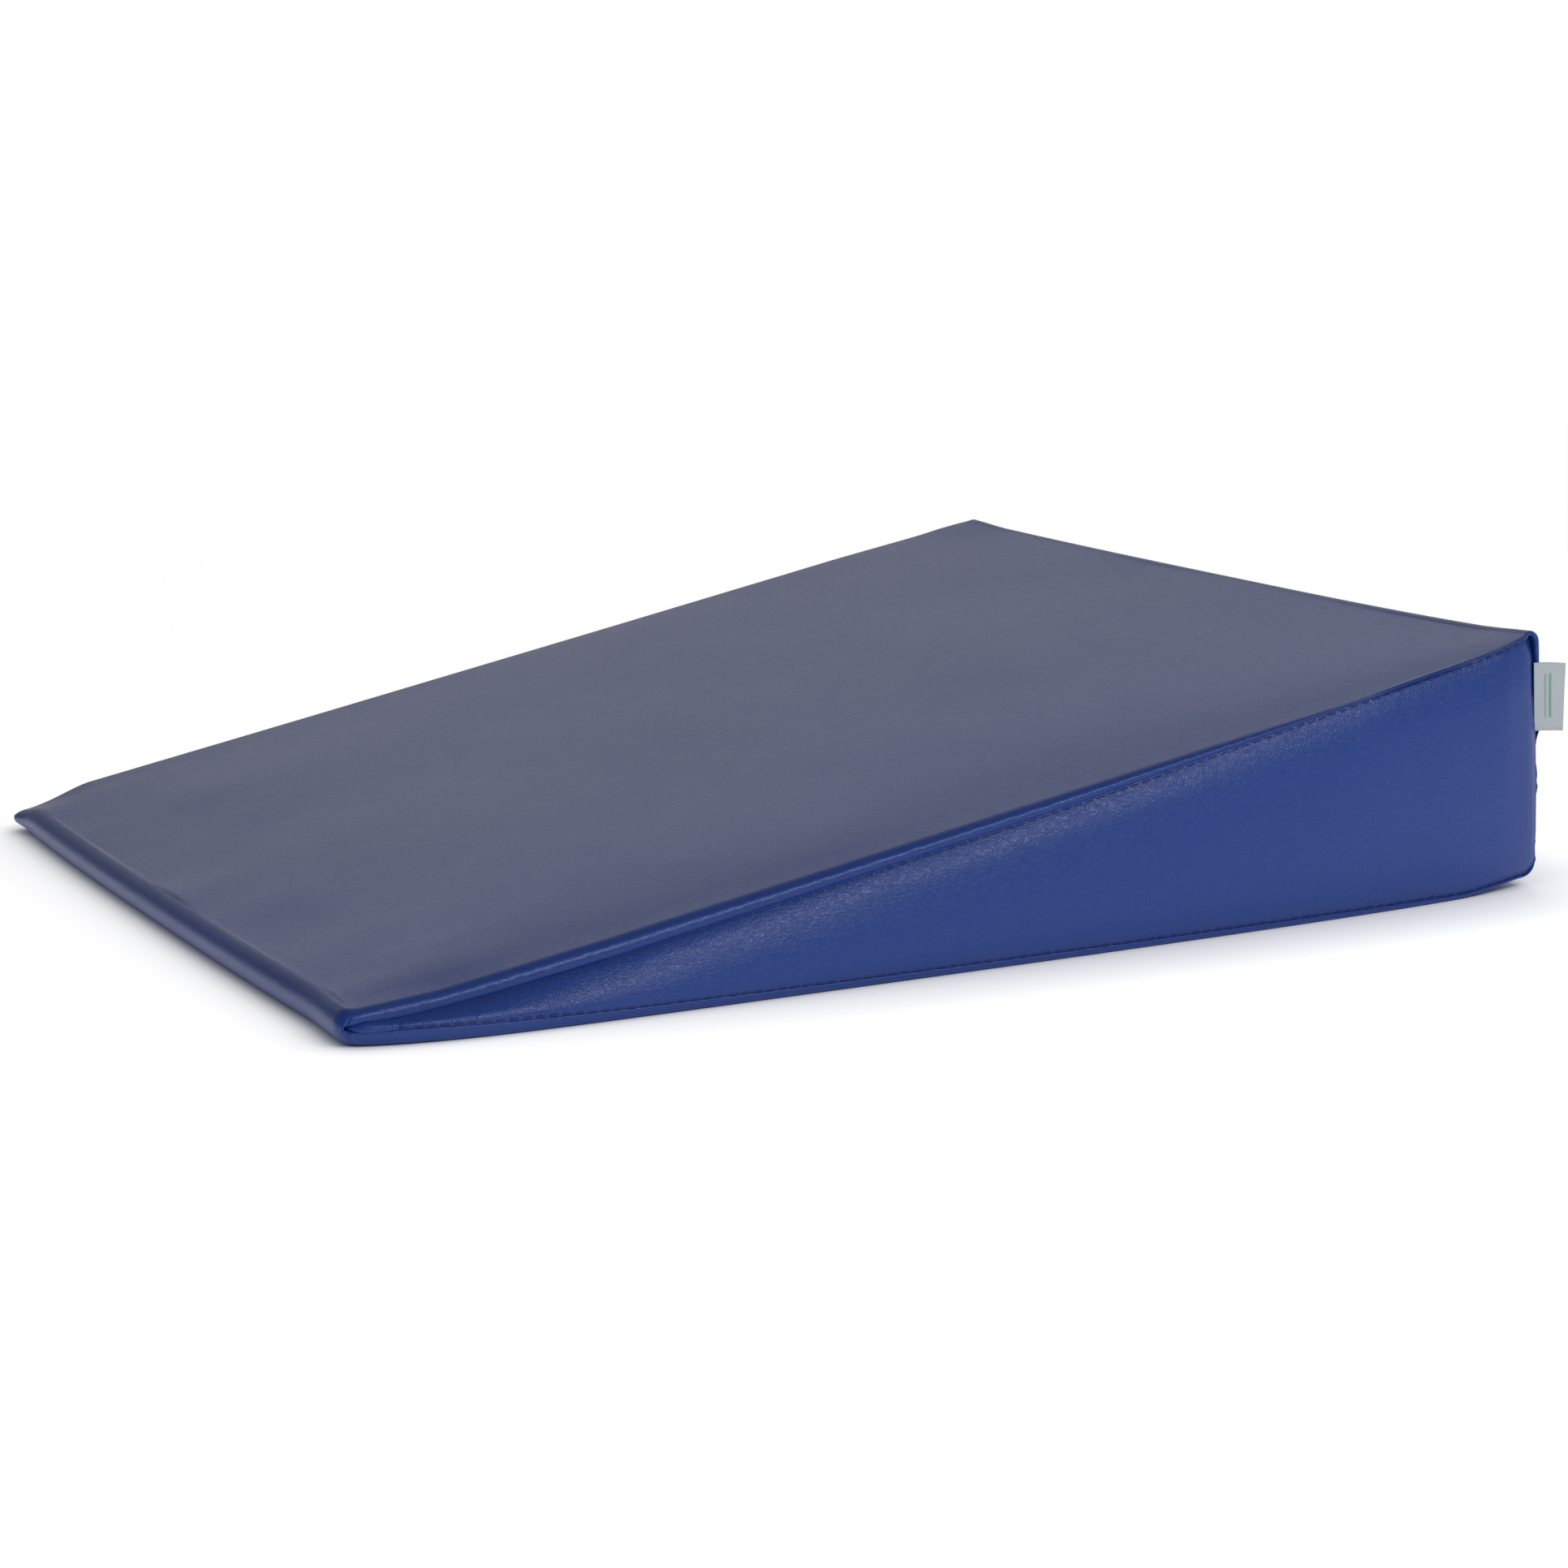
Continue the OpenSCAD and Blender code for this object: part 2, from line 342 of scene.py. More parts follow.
def slab(outline, low, high, bevel, lift=None):
    """A plate with rounded rims: outline is (n, 2), and the plate runs from low to high.
    lift says how much higher a point goes, from its place across."""
    count = len(outline)
    tangent = unit(np.roll(outline, -1, 0) - np.roll(outline, 1, 0))
    inward = np.stack([-tangent[:, 1], tangent[:, 0]], axis=1)
    rings = []
    steps = list(range(BEVEL_STEPS + 1))
    for face, way, order in ((low, 1, steps), (high, -1, steps[::-1])):
        for i in order:
            angle = math.pi / 2 * i / BEVEL_STEPS
            inset, rise = bevel * (1 - math.sin(angle)), bevel * (1 - math.cos(angle))
            rings.append(np.column_stack([outline + inward * inset,
                                          np.full(count, face + way * rise)]))
    points = np.concatenate(rings)
    if lift is not None:
        points[:, 2] += lift(points[:, 1])
    return points, ring_faces(len(rings), count)


def rounded_outline(length, width, corner, steps=6, taper=0.0):
    """A rounded rectangle about the origin, long in its first direction. Its far end is
    narrower by twice the taper."""
    points = []
    for k, (sx, sy) in enumerate(((1, 1), (-1, 1), (-1, -1), (1, -1))):
        half = width / 2 - (taper if sx < 0 else 0)
        centre_x, centre_y = sx * (length / 2 - corner), sy * (half - corner)
        for i in range(steps + 1):
            angle = math.pi / 2 * (k + i / steps)
            points.append((centre_x + corner * math.cos(angle),
                           centre_y + corner * math.sin(angle)))
    return np.array(points)


def join(*parts):
    """Several (points, faces) as one."""
    points, faces, first = [], [], 0
    for p, f in parts:
        points.append(np.asarray(p))
        faces += [[first + i for i in face] for face in f]
        first += len(p)
    return np.concatenate(points), faces


def make_piece(name, shape, finish, body, nodes, crease=50, near_seam=None):
    """The mesh as an object that rides on body, stands for the CAD nodes and has its finish.
    near_seam is 1 at a seam and 0 away from it, point by point."""
    points, faces = shape
    mesh = bpy.data.meshes.new(name)
    mesh.from_pydata(np.asarray(points, float).tolist(), [], faces)
    mesh.validate()
    if not len(mesh.polygons):
        raise RuntimeError(f"{name} has no faces")
    mesh.polygons.foreach_set("use_smooth", [True] * len(mesh.polygons))
    mesh.set_sharp_from_angle(angle=math.radians(crease))
    mesh.materials.append(finish)
    if near_seam is not None:
        layer = mesh.attributes.new("near_seam", "FLOAT", "POINT")
        layer.data.foreach_set("value", np.asarray(near_seam, np.float32))
    piece = bpy.data.objects.new(name, mesh)
    bpy.context.scene.collection.objects.link(piece)
    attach(piece, body)
    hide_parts(*nodes)
    return piece


# --- shader maths ---


class Wire:
    """A socket that Python operators work on: each adds one Math node."""

    def __init__(self, finish, socket):
        self.finish, self.socket = finish, socket

    def maths(self, operation, first, second):
        node = self.finish.node("ShaderNodeMath", {"operation": operation}, {0: first, 1: second})
        return node.out()

    def __add__(self, other):
        return self.maths("ADD", self, other)

    def __radd__(self, other):
        return self.maths("ADD", other, self)

    def __sub__(self, other):
        return self.maths("SUBTRACT", self, other)

    def __rsub__(self, other):
        return self.maths("SUBTRACT", other, self)

    def __mul__(self, other):
        return self.maths("MULTIPLY", self, other)

    def __rmul__(self, other):
        return self.maths("MULTIPLY", other, self)

    def __pow__(self, other):
        return self.maths("POWER", self, other)

    def clamped(self):
        """Kept between 0 and 1."""
        return self.maths("MINIMUM", self.maths("MAXIMUM", self, 0), 1)

    def size(self):
        """Its distance from 0."""
        return self.finish.node("ShaderNodeMath", {"operation": "ABSOLUTE"}, {0: self}).out()


class Step:
    """A node that was added, whose outputs are taken by name or number."""

    def __init__(self, finish, node):
        self.finish, self.node = finish, node

    def out(self, name=0):
        return Wire(self.finish, self.node.outputs[name])


class Finish:
    """One material, or the world, and the nodes that make it."""

    def __init__(self, owner):
        owner.use_nodes = True
        self.owner, self.tree = owner, owner.node_tree
        self.tree.nodes.clear()

    def node(self, kind, settings=None, inputs=None):
        """A node of that kind: its settings first, then its sockets' values or links."""
        node = self.tree.nodes.new(kind)
        for name, value in (settings or {}).items():
            if name == "stops":
                ramp = node.color_ramp
                while len(ramp.elements) < len(value):
                    ramp.elements.new(1.0)
                for element, (place, tint) in zip(ramp.elements, value):
                    element.position = place
                    element.color = tint
            else:
                setattr(node, name, value)
        for name, value in (inputs or {}).items():
            if isinstance(value, Wire):
                self.tree.links.new(value.socket, node.inputs[name])
            else:
                node.inputs[name].default_value = value
        return Step(self, node)

    def place(self):
        """Where a point is, in metres, on the object at rest."""
        return self.node("ShaderNodeTexCoord").out("Object")

    def scaled(self, place, scale):
        """place times scale, which is one number or one for each axis."""
        factors = (scale, scale, scale) if isinstance(scale, (int, float)) else scale
        step = self.node("ShaderNodeVectorMath", {"operation": "MULTIPLY"}, {0: place, 1: factors})
        return step.out()

    def part(self, place, axis):
        """One coordinate of a place."""
        return self.node("ShaderNodeSeparateXYZ", None, {0: place}).out(axis)

    def moved(self, place, by):
        return self.node("ShaderNodeVectorMath", {"operation": "ADD"}, {0: place, 1: by}).out()

    def noise(self, place, scale, detail=3.0, rough=0.5, twist=0.0):
        step = self.node("ShaderNodeTexNoise", None, {
            "Vector": place, "Scale": scale, "Detail": detail, "Roughness": rough,
            "Distortion": twist})
        return step.out("Fac")

    def cells(self, place, scale, feature="F1"):
        step = self.node("ShaderNodeTexVoronoi", {"feature": feature}, {
            "Vector": place, "Scale": scale})
        return step.out("Distance")

    def bands(self, place, direction, scale, twist, detail=1.0):
        """Soft bands that follow each other in one direction."""
        settings = {"wave_type": "BANDS", "bands_direction": direction}
        step = self.node("ShaderNodeTexWave", settings, {
            "Vector": place, "Scale": scale, "Distortion": twist, "Detail": detail})
        return step.out("Fac")

    def mix(self, factor, first, second):
        """Two colours mixed."""
        step = self.node("ShaderNodeMix", {"data_type": "RGBA"}, {0: factor, 6: first, 7: second})
        return step.out(2)

    def ramp(self, factor, stops):
        return self.node("ShaderNodeValToRGB", {"stops": stops}, {"Fac": factor}).out("Color")

    def between(self, value, low, high, start=0.0, end=1.0):
        step = self.node("ShaderNodeMapRange", None, {
            "Value": value, "From Min": low, "From Max": high, "To Min": start, "To Max": end})
        return step.out("Result")

    def bump(self, height, strength, distance):
        step = self.node("ShaderNodeBump", None, {
            "Height": height, "Strength": strength, "Distance": distance})
        return step.out("Normal")

    def shade(self, sockets):
        """The one Principled shader and the output."""
        shader = self.node("ShaderNodeBsdfPrincipled", None, sockets)
        self.node("ShaderNodeOutputMaterial", None, {"Surface": shader.out("BSDF")})
        return self.owner


def new_finish(name):
    return Finish(bpy.data.materials.new(name))


def tint(colour, factor=1.0):
    return tuple(min(1.0, c * factor) for c in colour) + (1.0,)


def vinyl_finish(name, grain, shift):
    """Embossed artificial leather: fine pebble, tiny creases, even satin gloss, worn a little."""
    f = new_finish(name)
    place = f.moved(f.place(), shift)
    seam = f.node("ShaderNodeAttribute", {"attribute_name": "near_seam"}).out("Fac")
    pebble = f.cells(f.scaled(place, 620), 1.0, "DISTANCE_TO_EDGE")
    pebble = f.between(pebble, 0.0, 0.32)
    crease = f.noise(f.scaled(place, (300, 330, 520)), 1.0, 3.0, 0.6, 1.4)
    crease = (1 - (2 * crease - 1).size() * 6).clamped()
    crinkle = f.noise(f.scaled(place, (640, 520, 210)), 1.0, 2.0, 0.5, 0.6)
    wide = f.noise(place, 9, 3.0)
    handled = f.noise(place, 34, 4.0, 0.6)
    depth = pebble * 0.35 - crease * 0.22 + handled * 0.2 + crinkle * seam * 0.28
    base = tuple(colours().vinyl)
    colour = f.mix(wide, tint(base, 0.94), tint(base, 1.07))
    # painted shade: the vinyl is painted darker in its creases and near the seams, where the valleys
    # hold shade
    colour = f.mix(crease * 0.16 + seam * 0.10, colour, tint(base, 0.74))
    rough = 0.35 + (handled - 0.5) * 0.03 + crease * 0.04 + (wide - 0.5) * 0.03 - seam * 0.03
    return f.shade({
        "Base Color": colour,
        "Roughness": rough,
        "IOR": 1.43,
        "Normal": f.bump(depth, grain, 0.00016),
    })


def thread_finish():
    """Bonded polyester thread: two plies twisted, slightly glossy."""
    f = new_finish("thread_twisted")
    place = f.place()
    fibre = f.noise(f.scaled(place, (900, 2600, 900)), 1.0, 3.0)
    twist = f.bands(place, "DIAGONAL", 520.0, 0.6)
    base = tuple(colours().thread)
    # painted shade and highlight: darker in the grooves between the twisted plies and lighter on
    # their crests, with random fibre tone
    colour = f.mix(twist * 0.7 + fibre * 0.3, tint(base, 0.55), tint(base, 1.6))
    return f.shade({
        "Base Color": colour,
        "Roughness": 0.42 + fibre * 0.18,
        "Normal": f.bump(twist * 0.8 + fibre * 0.3, 0.6, 0.00012),
    })


def foam_finish():
    """Open-cell foam: round pores, a little yellowed where the air reaches it."""
    f = new_finish("foam_open_cell")
    place = f.place()
    pores = f.cells(place, 900.0)
    big = f.cells(place, 330.0)
    yellow = f.noise(place, 12, 3.0)
    base = tuple(colours().foam)
    open_cell = f.between(pores, 0.15, 0.55)
    # painted shade: the pores are painted darker than the cell walls round them
    colour = f.mix(open_cell, tint(base, 0.62), tint(base, 1.05))
    colour = f.mix(yellow * 0.35, colour, (0.72, 0.55, 0.28, 1))
    return f.shade({
        "Base Color": colour,
        "Roughness": 0.92 - open_cell * 0.08,
        "Normal": f.bump(open_cell + big * 0.6, 0.7, 0.0008),
    })


def tape_finish():
    """Woven zip tape: ribs along the tape crossed by fine picks."""
    f = new_finish("zip_tape_woven")
    place = f.place()
    ribs = f.bands(place, "Z", 260.0, 0.25)
    picks = f.bands(place, "Y", 420.0, 0.4)
    fluff = f.noise(place, 1500, 3.0)
    weave = ribs * 0.55 + picks * 0.45
    base = tuple(colours().tape)
    return f.shade({
        # painted shade and highlight: the colour is darker between the ribs and picks of the weave
        # and lighter on them
        "Base Color": f.mix(weave, tint(base, 0.55), tint(base, 1.5)),
        "Roughness": 0.74 + fluff * 0.2,
        "Normal": f.bump(weave + fluff * 0.3, 0.7, 0.00022),
        "Sheen Weight": 0.15,
    })


def teeth_finish():
    """Moulded nylon: smooth with faint flow marks and rubbed tips."""
    f = new_finish("zip_teeth_nylon")
    place = f.place()
    flow = f.noise(f.scaled(place, (500, 250, 1100)), 1.0, 4.0, 0.6)
    rubbed = f.noise(place, 60, 3.0)
    base = tuple(colours().teeth)
    return f.shade({
        "Base Color": f.mix(rubbed * 0.4, tint(base, 0.9), tint(base, 2.0)),
        "Roughness": 0.24 + flow * 0.2 + rubbed * 0.08,
        "Normal": f.bump(flow, 0.25, 0.00006),
    })


def metal_finish():
    """Nickel plate: fine brushing along the part, dull handled patches, small scratches."""
    f = new_finish("zip_nickel")
    place = f.place()
    brush = f.noise(f.scaled(place, (2200, 160, 2200)), 1.0, 3.0, 0.6)
    patch = f.noise(place, 150, 4.0, 0.6)
    scratch = f.noise(f.scaled(place, (500, 1400, 3800)), 1.0, 2.0, 0.5, 2.0)
    scratch = (1 - (2 * scratch - 1).size() * 14).clamped()
    base = tuple(colours().metal)
    return f.shade({
        "Base Color": f.mix(patch * 0.5 + scratch * 0.3, tint(base), tint(base, 0.66)),
        "Metallic": 1.0,
        "Roughness": 0.20 + brush * 0.14 + patch * 0.16 + scratch * 0.2,
        "Normal": f.bump(brush * 0.5 - scratch, 0.22, 0.00005),
    })


def ribbon_finish():
    """Satin ribbon: long floats of yarn, a woven selvedge and one plain band."""
    f = new_finish("tag_satin")
    place = f.place()
    low, high = cad_span("label")
    reach = f.part(place, "X")
    from_middle = (f.part(place, "Z") - float(low[2] + high[2]) / 2).size()
    yarn = f.bands(place, "Z", 900.0, 0.8, 2.0)
    pick = f.bands(place, "X", 500.0, 0.5)
    soil = f.noise(place, 90, 3.0)
    edge = f.between(from_middle, 0.0126, 0.0142)
    middle = float(high[0]) - 4.6 * MM
    band = f.between((reach - middle).size(), 0.00075, 0.0006)
    line = f.between((reach - (middle - 2.2 * MM)).size(), 0.00035, 0.00022)
    inside = 1 - f.between(from_middle, 0.0088, 0.0090)
    # painted shade: this base colour is the pale ribbon darkened for the shade the tag sits in
    base = tuple(colours().ribbon)
    # painted shade: the yarn bands darken the colour a little between the satin floats; the soil is
    # random dirt
    colour = f.mix(yarn * 0.35 + soil * 0.3, tint(base), tint(base, 0.86))
    colour = f.mix(edge * 0.5, colour, tint(base, 0.78))
    colour = f.mix(band * inside * 0.75, colour, tint(colours().band))
    colour = f.mix(line * inside * 0.6, colour, (0.12, 0.13, 0.14, 1))
    return f.shade({
        "Base Color": colour,
        "Roughness": 0.40 + yarn * 0.12 + edge * 0.2,
        "Normal": f.bump(yarn * 0.7 + pick * 0.3 + edge, 0.35, 0.00008),
        "Sheen Weight": 0.1,
    })


def floor_finish():
    """Matt pale paper with a trace of tooth. A little of its own light keeps it even; that glow
    carries a painted contact shadow round the cushion and a painted dark patch beyond the left end.
    """
    f = new_finish("studio_paper")
    place = f.place()
    tooth = f.noise(place, 700, 3.0)
    # painted shadow: the paper's glow is dimmed by ambient occlusion near the cushion, a painted
    # contact shadow
    glow_with_painted_shadow = f.node("ShaderNodeAmbientOcclusion", {"samples": 8}, {"Distance": 0.06})
    glow_with_painted_shadow = glow_with_painted_shadow.out("AO") ** 1.5
    # painted shade: beyond the left end, where only the thin edge mirrors the room, the paper is
    # painted nearly black and its glow dimmed
    reach, depth = f.part(place, "X"), f.part(place, "Y")
    far = (reach * reach + depth * depth) ** 0.5
    away = f.between(far, 0.8, 1.3) * f.between(depth, 0.0, 0.4)
    clear_of_painted_dark = 1 - away * f.between(reach - depth * 0.223, -0.36, -0.67) * 0.82
    # painted light: the glow is also dimmer at the front than at the back, and dimmed in the painted
    # dark patch
    glow_with_painted_shadow = glow_with_painted_shadow * f.between(depth, 0.6, 3.0, 0.86, 1.0) * clear_of_painted_dark
    base = tuple(colours().floor)
    paper = f.mix(tooth, tint(base, 0.995), tint(base, 1.005))
    return f.shade({
        # painted shade: the paper's colour turns nearly black in that patch
        "Base Color": f.mix(clear_of_painted_dark, (0.0, 0.0, 0.0, 1), paper),
        "Roughness": 0.85 + tooth * 0.1,
        "Specular IOR Level": 0.1,
        "Emission Color": f.mix(glow_with_painted_shadow, (0.0, 0.0, 0.0, 1), (1.0, 1.0, 1.0, 1)),
        "Emission Strength": 0.77,
    })


# --- the shape of the cover ---


class Outline:
    """The cover's side view, from the upper hem up the back, down the slope and round to the lower
    hem: places and outward normals of its rows, and what the seams do along it."""

    nose_r = 7.2 * MM
    heel_r = 6.0 * MM
    peak_r = 3.5 * MM
    step = 1.0 * MM
    arc_step = 0.55 * MM
    hem_fold_r = 1.2 * MM

    def __init__(self):
        low, high = cad_span("side_panel_left")
        wrap_low, wrap_high = cad_span("wrap_panel")
        self.hem_x = wrap_high[0]
        self.back_x = high[0] + 1.2 * MM
        self.nose_x = wrap_low[0]
        self.top_z = wrap_high[2]
        self.half_width = -low[1]
        upper_tape_low = cad_span("zip_tape_upper")[0]
        lower_tape_high = cad_span("zip_tape_lower")[1]
        self.zip_z = (upper_tape_low[2] + lower_tape_high[2]) / 2
        self.zip_half = cad_span("zip_slider")[1][2] - self.zip_z + 0.5 * MM
        self.nose = np.array([self.nose_x + self.nose_r, self.nose_r])
        self.heel = np.array([self.back_x - self.heel_r, self.heel_r])
        self.peak = np.array([self.back_x - self.peak_r, self.top_z - self.peak_r + 0.5 * MM])
        self.build()

    def build(self):
        """The rows: place, normal and stretch of each, and u, how far along the outline it is."""
        to_peak = self.peak - self.nose
        reach = np.linalg.norm(to_peak)
        tilt = math.atan2(to_peak[1], to_peak[0]) + math.acos((self.nose_r - self.peak_r) / reach)
        slope = np.array([math.cos(tilt), math.sin(tilt)])
        upper = self.zip_z + self.zip_half
        lower = self.zip_z - self.zip_half
        rows = []

        def line(start, end, normal, part):
            count = max(2, round(np.linalg.norm(end - start) / self.step))
            for t in np.arange(count) / count:
                rows.append((*(start + (end - start) * t), *normal, part))

        def arc(centre, radius, first, last, part):
            count = max(4, round(radius * abs(last - first) / self.arc_step))
            for t in np.arange(count) / count:
                angle = first + (last - first) * t
                normal = (math.cos(angle), math.sin(angle))
                rows.append((centre[0] + radius * normal[0], centre[1] + radius * normal[1],
                             *normal, part))

        back = np.array([1.0, 0.0])
        down = np.array([0.0, -1.0])
        peak_on = self.peak + slope * self.peak_r
        nose_on = self.nose + slope * self.nose_r
        line(np.array([self.back_x, upper]), self.peak + back * self.peak_r, back, HIGH_BACK)
        arc(self.peak, self.peak_r, 0, tilt, PEAK)
        line(peak_on, nose_on, slope, SLOPE)
        arc(self.nose, self.nose_r, tilt, 1.5 * math.pi, NOSE)
        line(self.nose + down * self.nose_r, self.heel + down * self.heel_r, down, BASE)
        arc(self.heel, self.heel_r, 1.5 * math.pi, 2 * math.pi, HEEL)
        line(self.heel + back * self.heel_r, np.array([self.back_x, lower]), back, LOW_BACK)
        rows.append((self.back_x, lower, *back, LOW_BACK))
        table = np.array(rows)
        self.x, self.z = table[:, 0], table[:, 1]
        self.nx, self.nz = table[:, 2], table[:, 3]
        self.part = table[:, 4].astype(int)
        gaps = np.hypot(np.diff(self.x), np.diff(self.z))
        self.u = np.concatenate([[0], np.cumsum(gaps)])
        self.measure()

    def by_stretch(self, sizes, others=0.0):
        """A size for each row, from the stretch that it is in."""
        rows = [self.part == stretch for stretch in sizes]
        return np.select(rows, list(sizes.values()), others)

    def measure(self):
        """Seam depth, roll width, outward bow, hems and droop, row by row."""
        x, z, sizes = self.x, self.z, cover()
        low_back, high_back = self.zip_z - self.zip_half, self.zip_z + self.zip_half
        share = np.clip((x - self.nose[0]) / (self.peak[0] - self.nose[0]), 0, 1)

        def along(places, sizes_mm):
            return np.interp(share, places, np.array(sizes_mm) * MM)

        down_back = smooth(low_back, self.zip_z + 40 * MM, z)
        depth = softened(self.by_stretch({
            HIGH_BACK: (0.7 + 1.6 * down_back) * MM,
            PEAK: 2.3 * MM,
            SLOPE: along([0, 0.03, 0.09, 0.2, 0.36, 0.57, 0.78, 0.88, 1],
                         [6.2, 8.4, 9.4, 9.9, 8.7, 7.2, 4.2, 2.6, 2.0]),
            NOSE: 6.4 * MM,
            BASE: along([0, 0.03, 0.09, 0.2, 0.38, 0.65, 0.9, 1],
                        [5.8, 6.2, 5.4, 4.3, 3.5, 3.1, 2.6, 1.6]),
            HEEL: 1.2 * MM,
        }, 0.6 * MM), 9)
        most = self.by_stretch({PEAK: self.peak_r, HEEL: self.heel_r, NOSE: self.nose_r}, 1.0)
        self.depth = np.minimum(depth, most - 0.4 * MM)
        self.roll = softened(self.by_stretch({
            HIGH_BACK: 1.5 * MM,
            PEAK: 1.5 * MM,
            SLOPE: along([0, 0.1, 0.3, 0.6, 0.85, 1], [6.0, 6.5, 7.0, 6.0, 4.2, 3.4]),
            NOSE: 7.0 * MM,
            BASE: along([0, 0.1, 0.8, 1], [6.0, 4.0, 3.4, 4.2]),
        }, 1.4 * MM), 17)

        from_nose = np.maximum(x - (self.nose_x + 5 * MM), 0)
        to_back = np.maximum((self.back_x - 3 * MM) - x, 0)
        base_bow = (1 - np.exp(-from_nose / (24 * MM))) * (1 - np.exp(-to_back / (80 * MM)))
        knots = [0, 0.15, 0.35, 0.55, 0.85, 0.97, 1]
        slope_bow = {LEFT: [0.1, 0.45, 0.75, 0.95, 1.0, 0.72, 0.3],
                     RIGHT: [-0.05, 0.12, 0.38, 0.62, 1.0, 0.72, 0.3]}
        self.bow = {side: softened(self.by_stretch({
            HIGH_BACK: 0.6 * MM * down_back,
            PEAK: 0.5 * MM,
            SLOPE: sizes.slope_bulge * np.interp(share, knots, slope_bow[side]),
            BASE: sizes.base_bulge * base_bow,
        }), 9) for side in (LEFT, RIGHT)}

        # the hems fold back to the zip, and the panel stands proud above and below them
        fold = self.hem_x - self.back_x
        hem = self.by_stretch({
            HIGH_BACK: fold * (1 - smooth(high_back + 10.5 * MM, high_back + 12.5 * MM, z)),
            LOW_BACK: fold * smooth(low_back - 12.5 * MM, low_back - 10.5 * MM, z)})
        proud = self.by_stretch({
            HIGH_BACK: 2.9 * MM * smooth(high_back, high_back + 9 * MM, z),
            PEAK: 2.8 * MM * np.maximum(self.nx, 0),
            HEEL: 0.2 * MM * np.maximum(self.nx, 0),
            LOW_BACK: 0.2 * MM * (1 - smooth(low_back - 12 * MM, low_back, z))})
        self.proud = softened(proud, 7) + hem
        self.droop = softened(self.by_stretch({
            SLOPE: along([0, 0.06, 0.2, 0.45, 0.9, 1], [1.0, 3.0, 3.4, 2.8, 1.9, 0.3])}), 9)

    def near_nose(self):
        """How far each row is from the middle of the nose."""
        return np.hypot(self.x - self.nose[0], self.z - self.nose[1])

    def forward(self):
        """How far the seams are drawn towards the front, row by row."""
        behind = np.maximum(self.x - self.nose[0], 0)
        return 4.2 * MM * np.exp(-behind / (5 * MM))

    def seam(self):
        """The seam's places in the side view."""
        return np.stack([self.x - self.nx * self.depth - self.forward(),
                         self.z - self.nz * self.depth], axis=1)


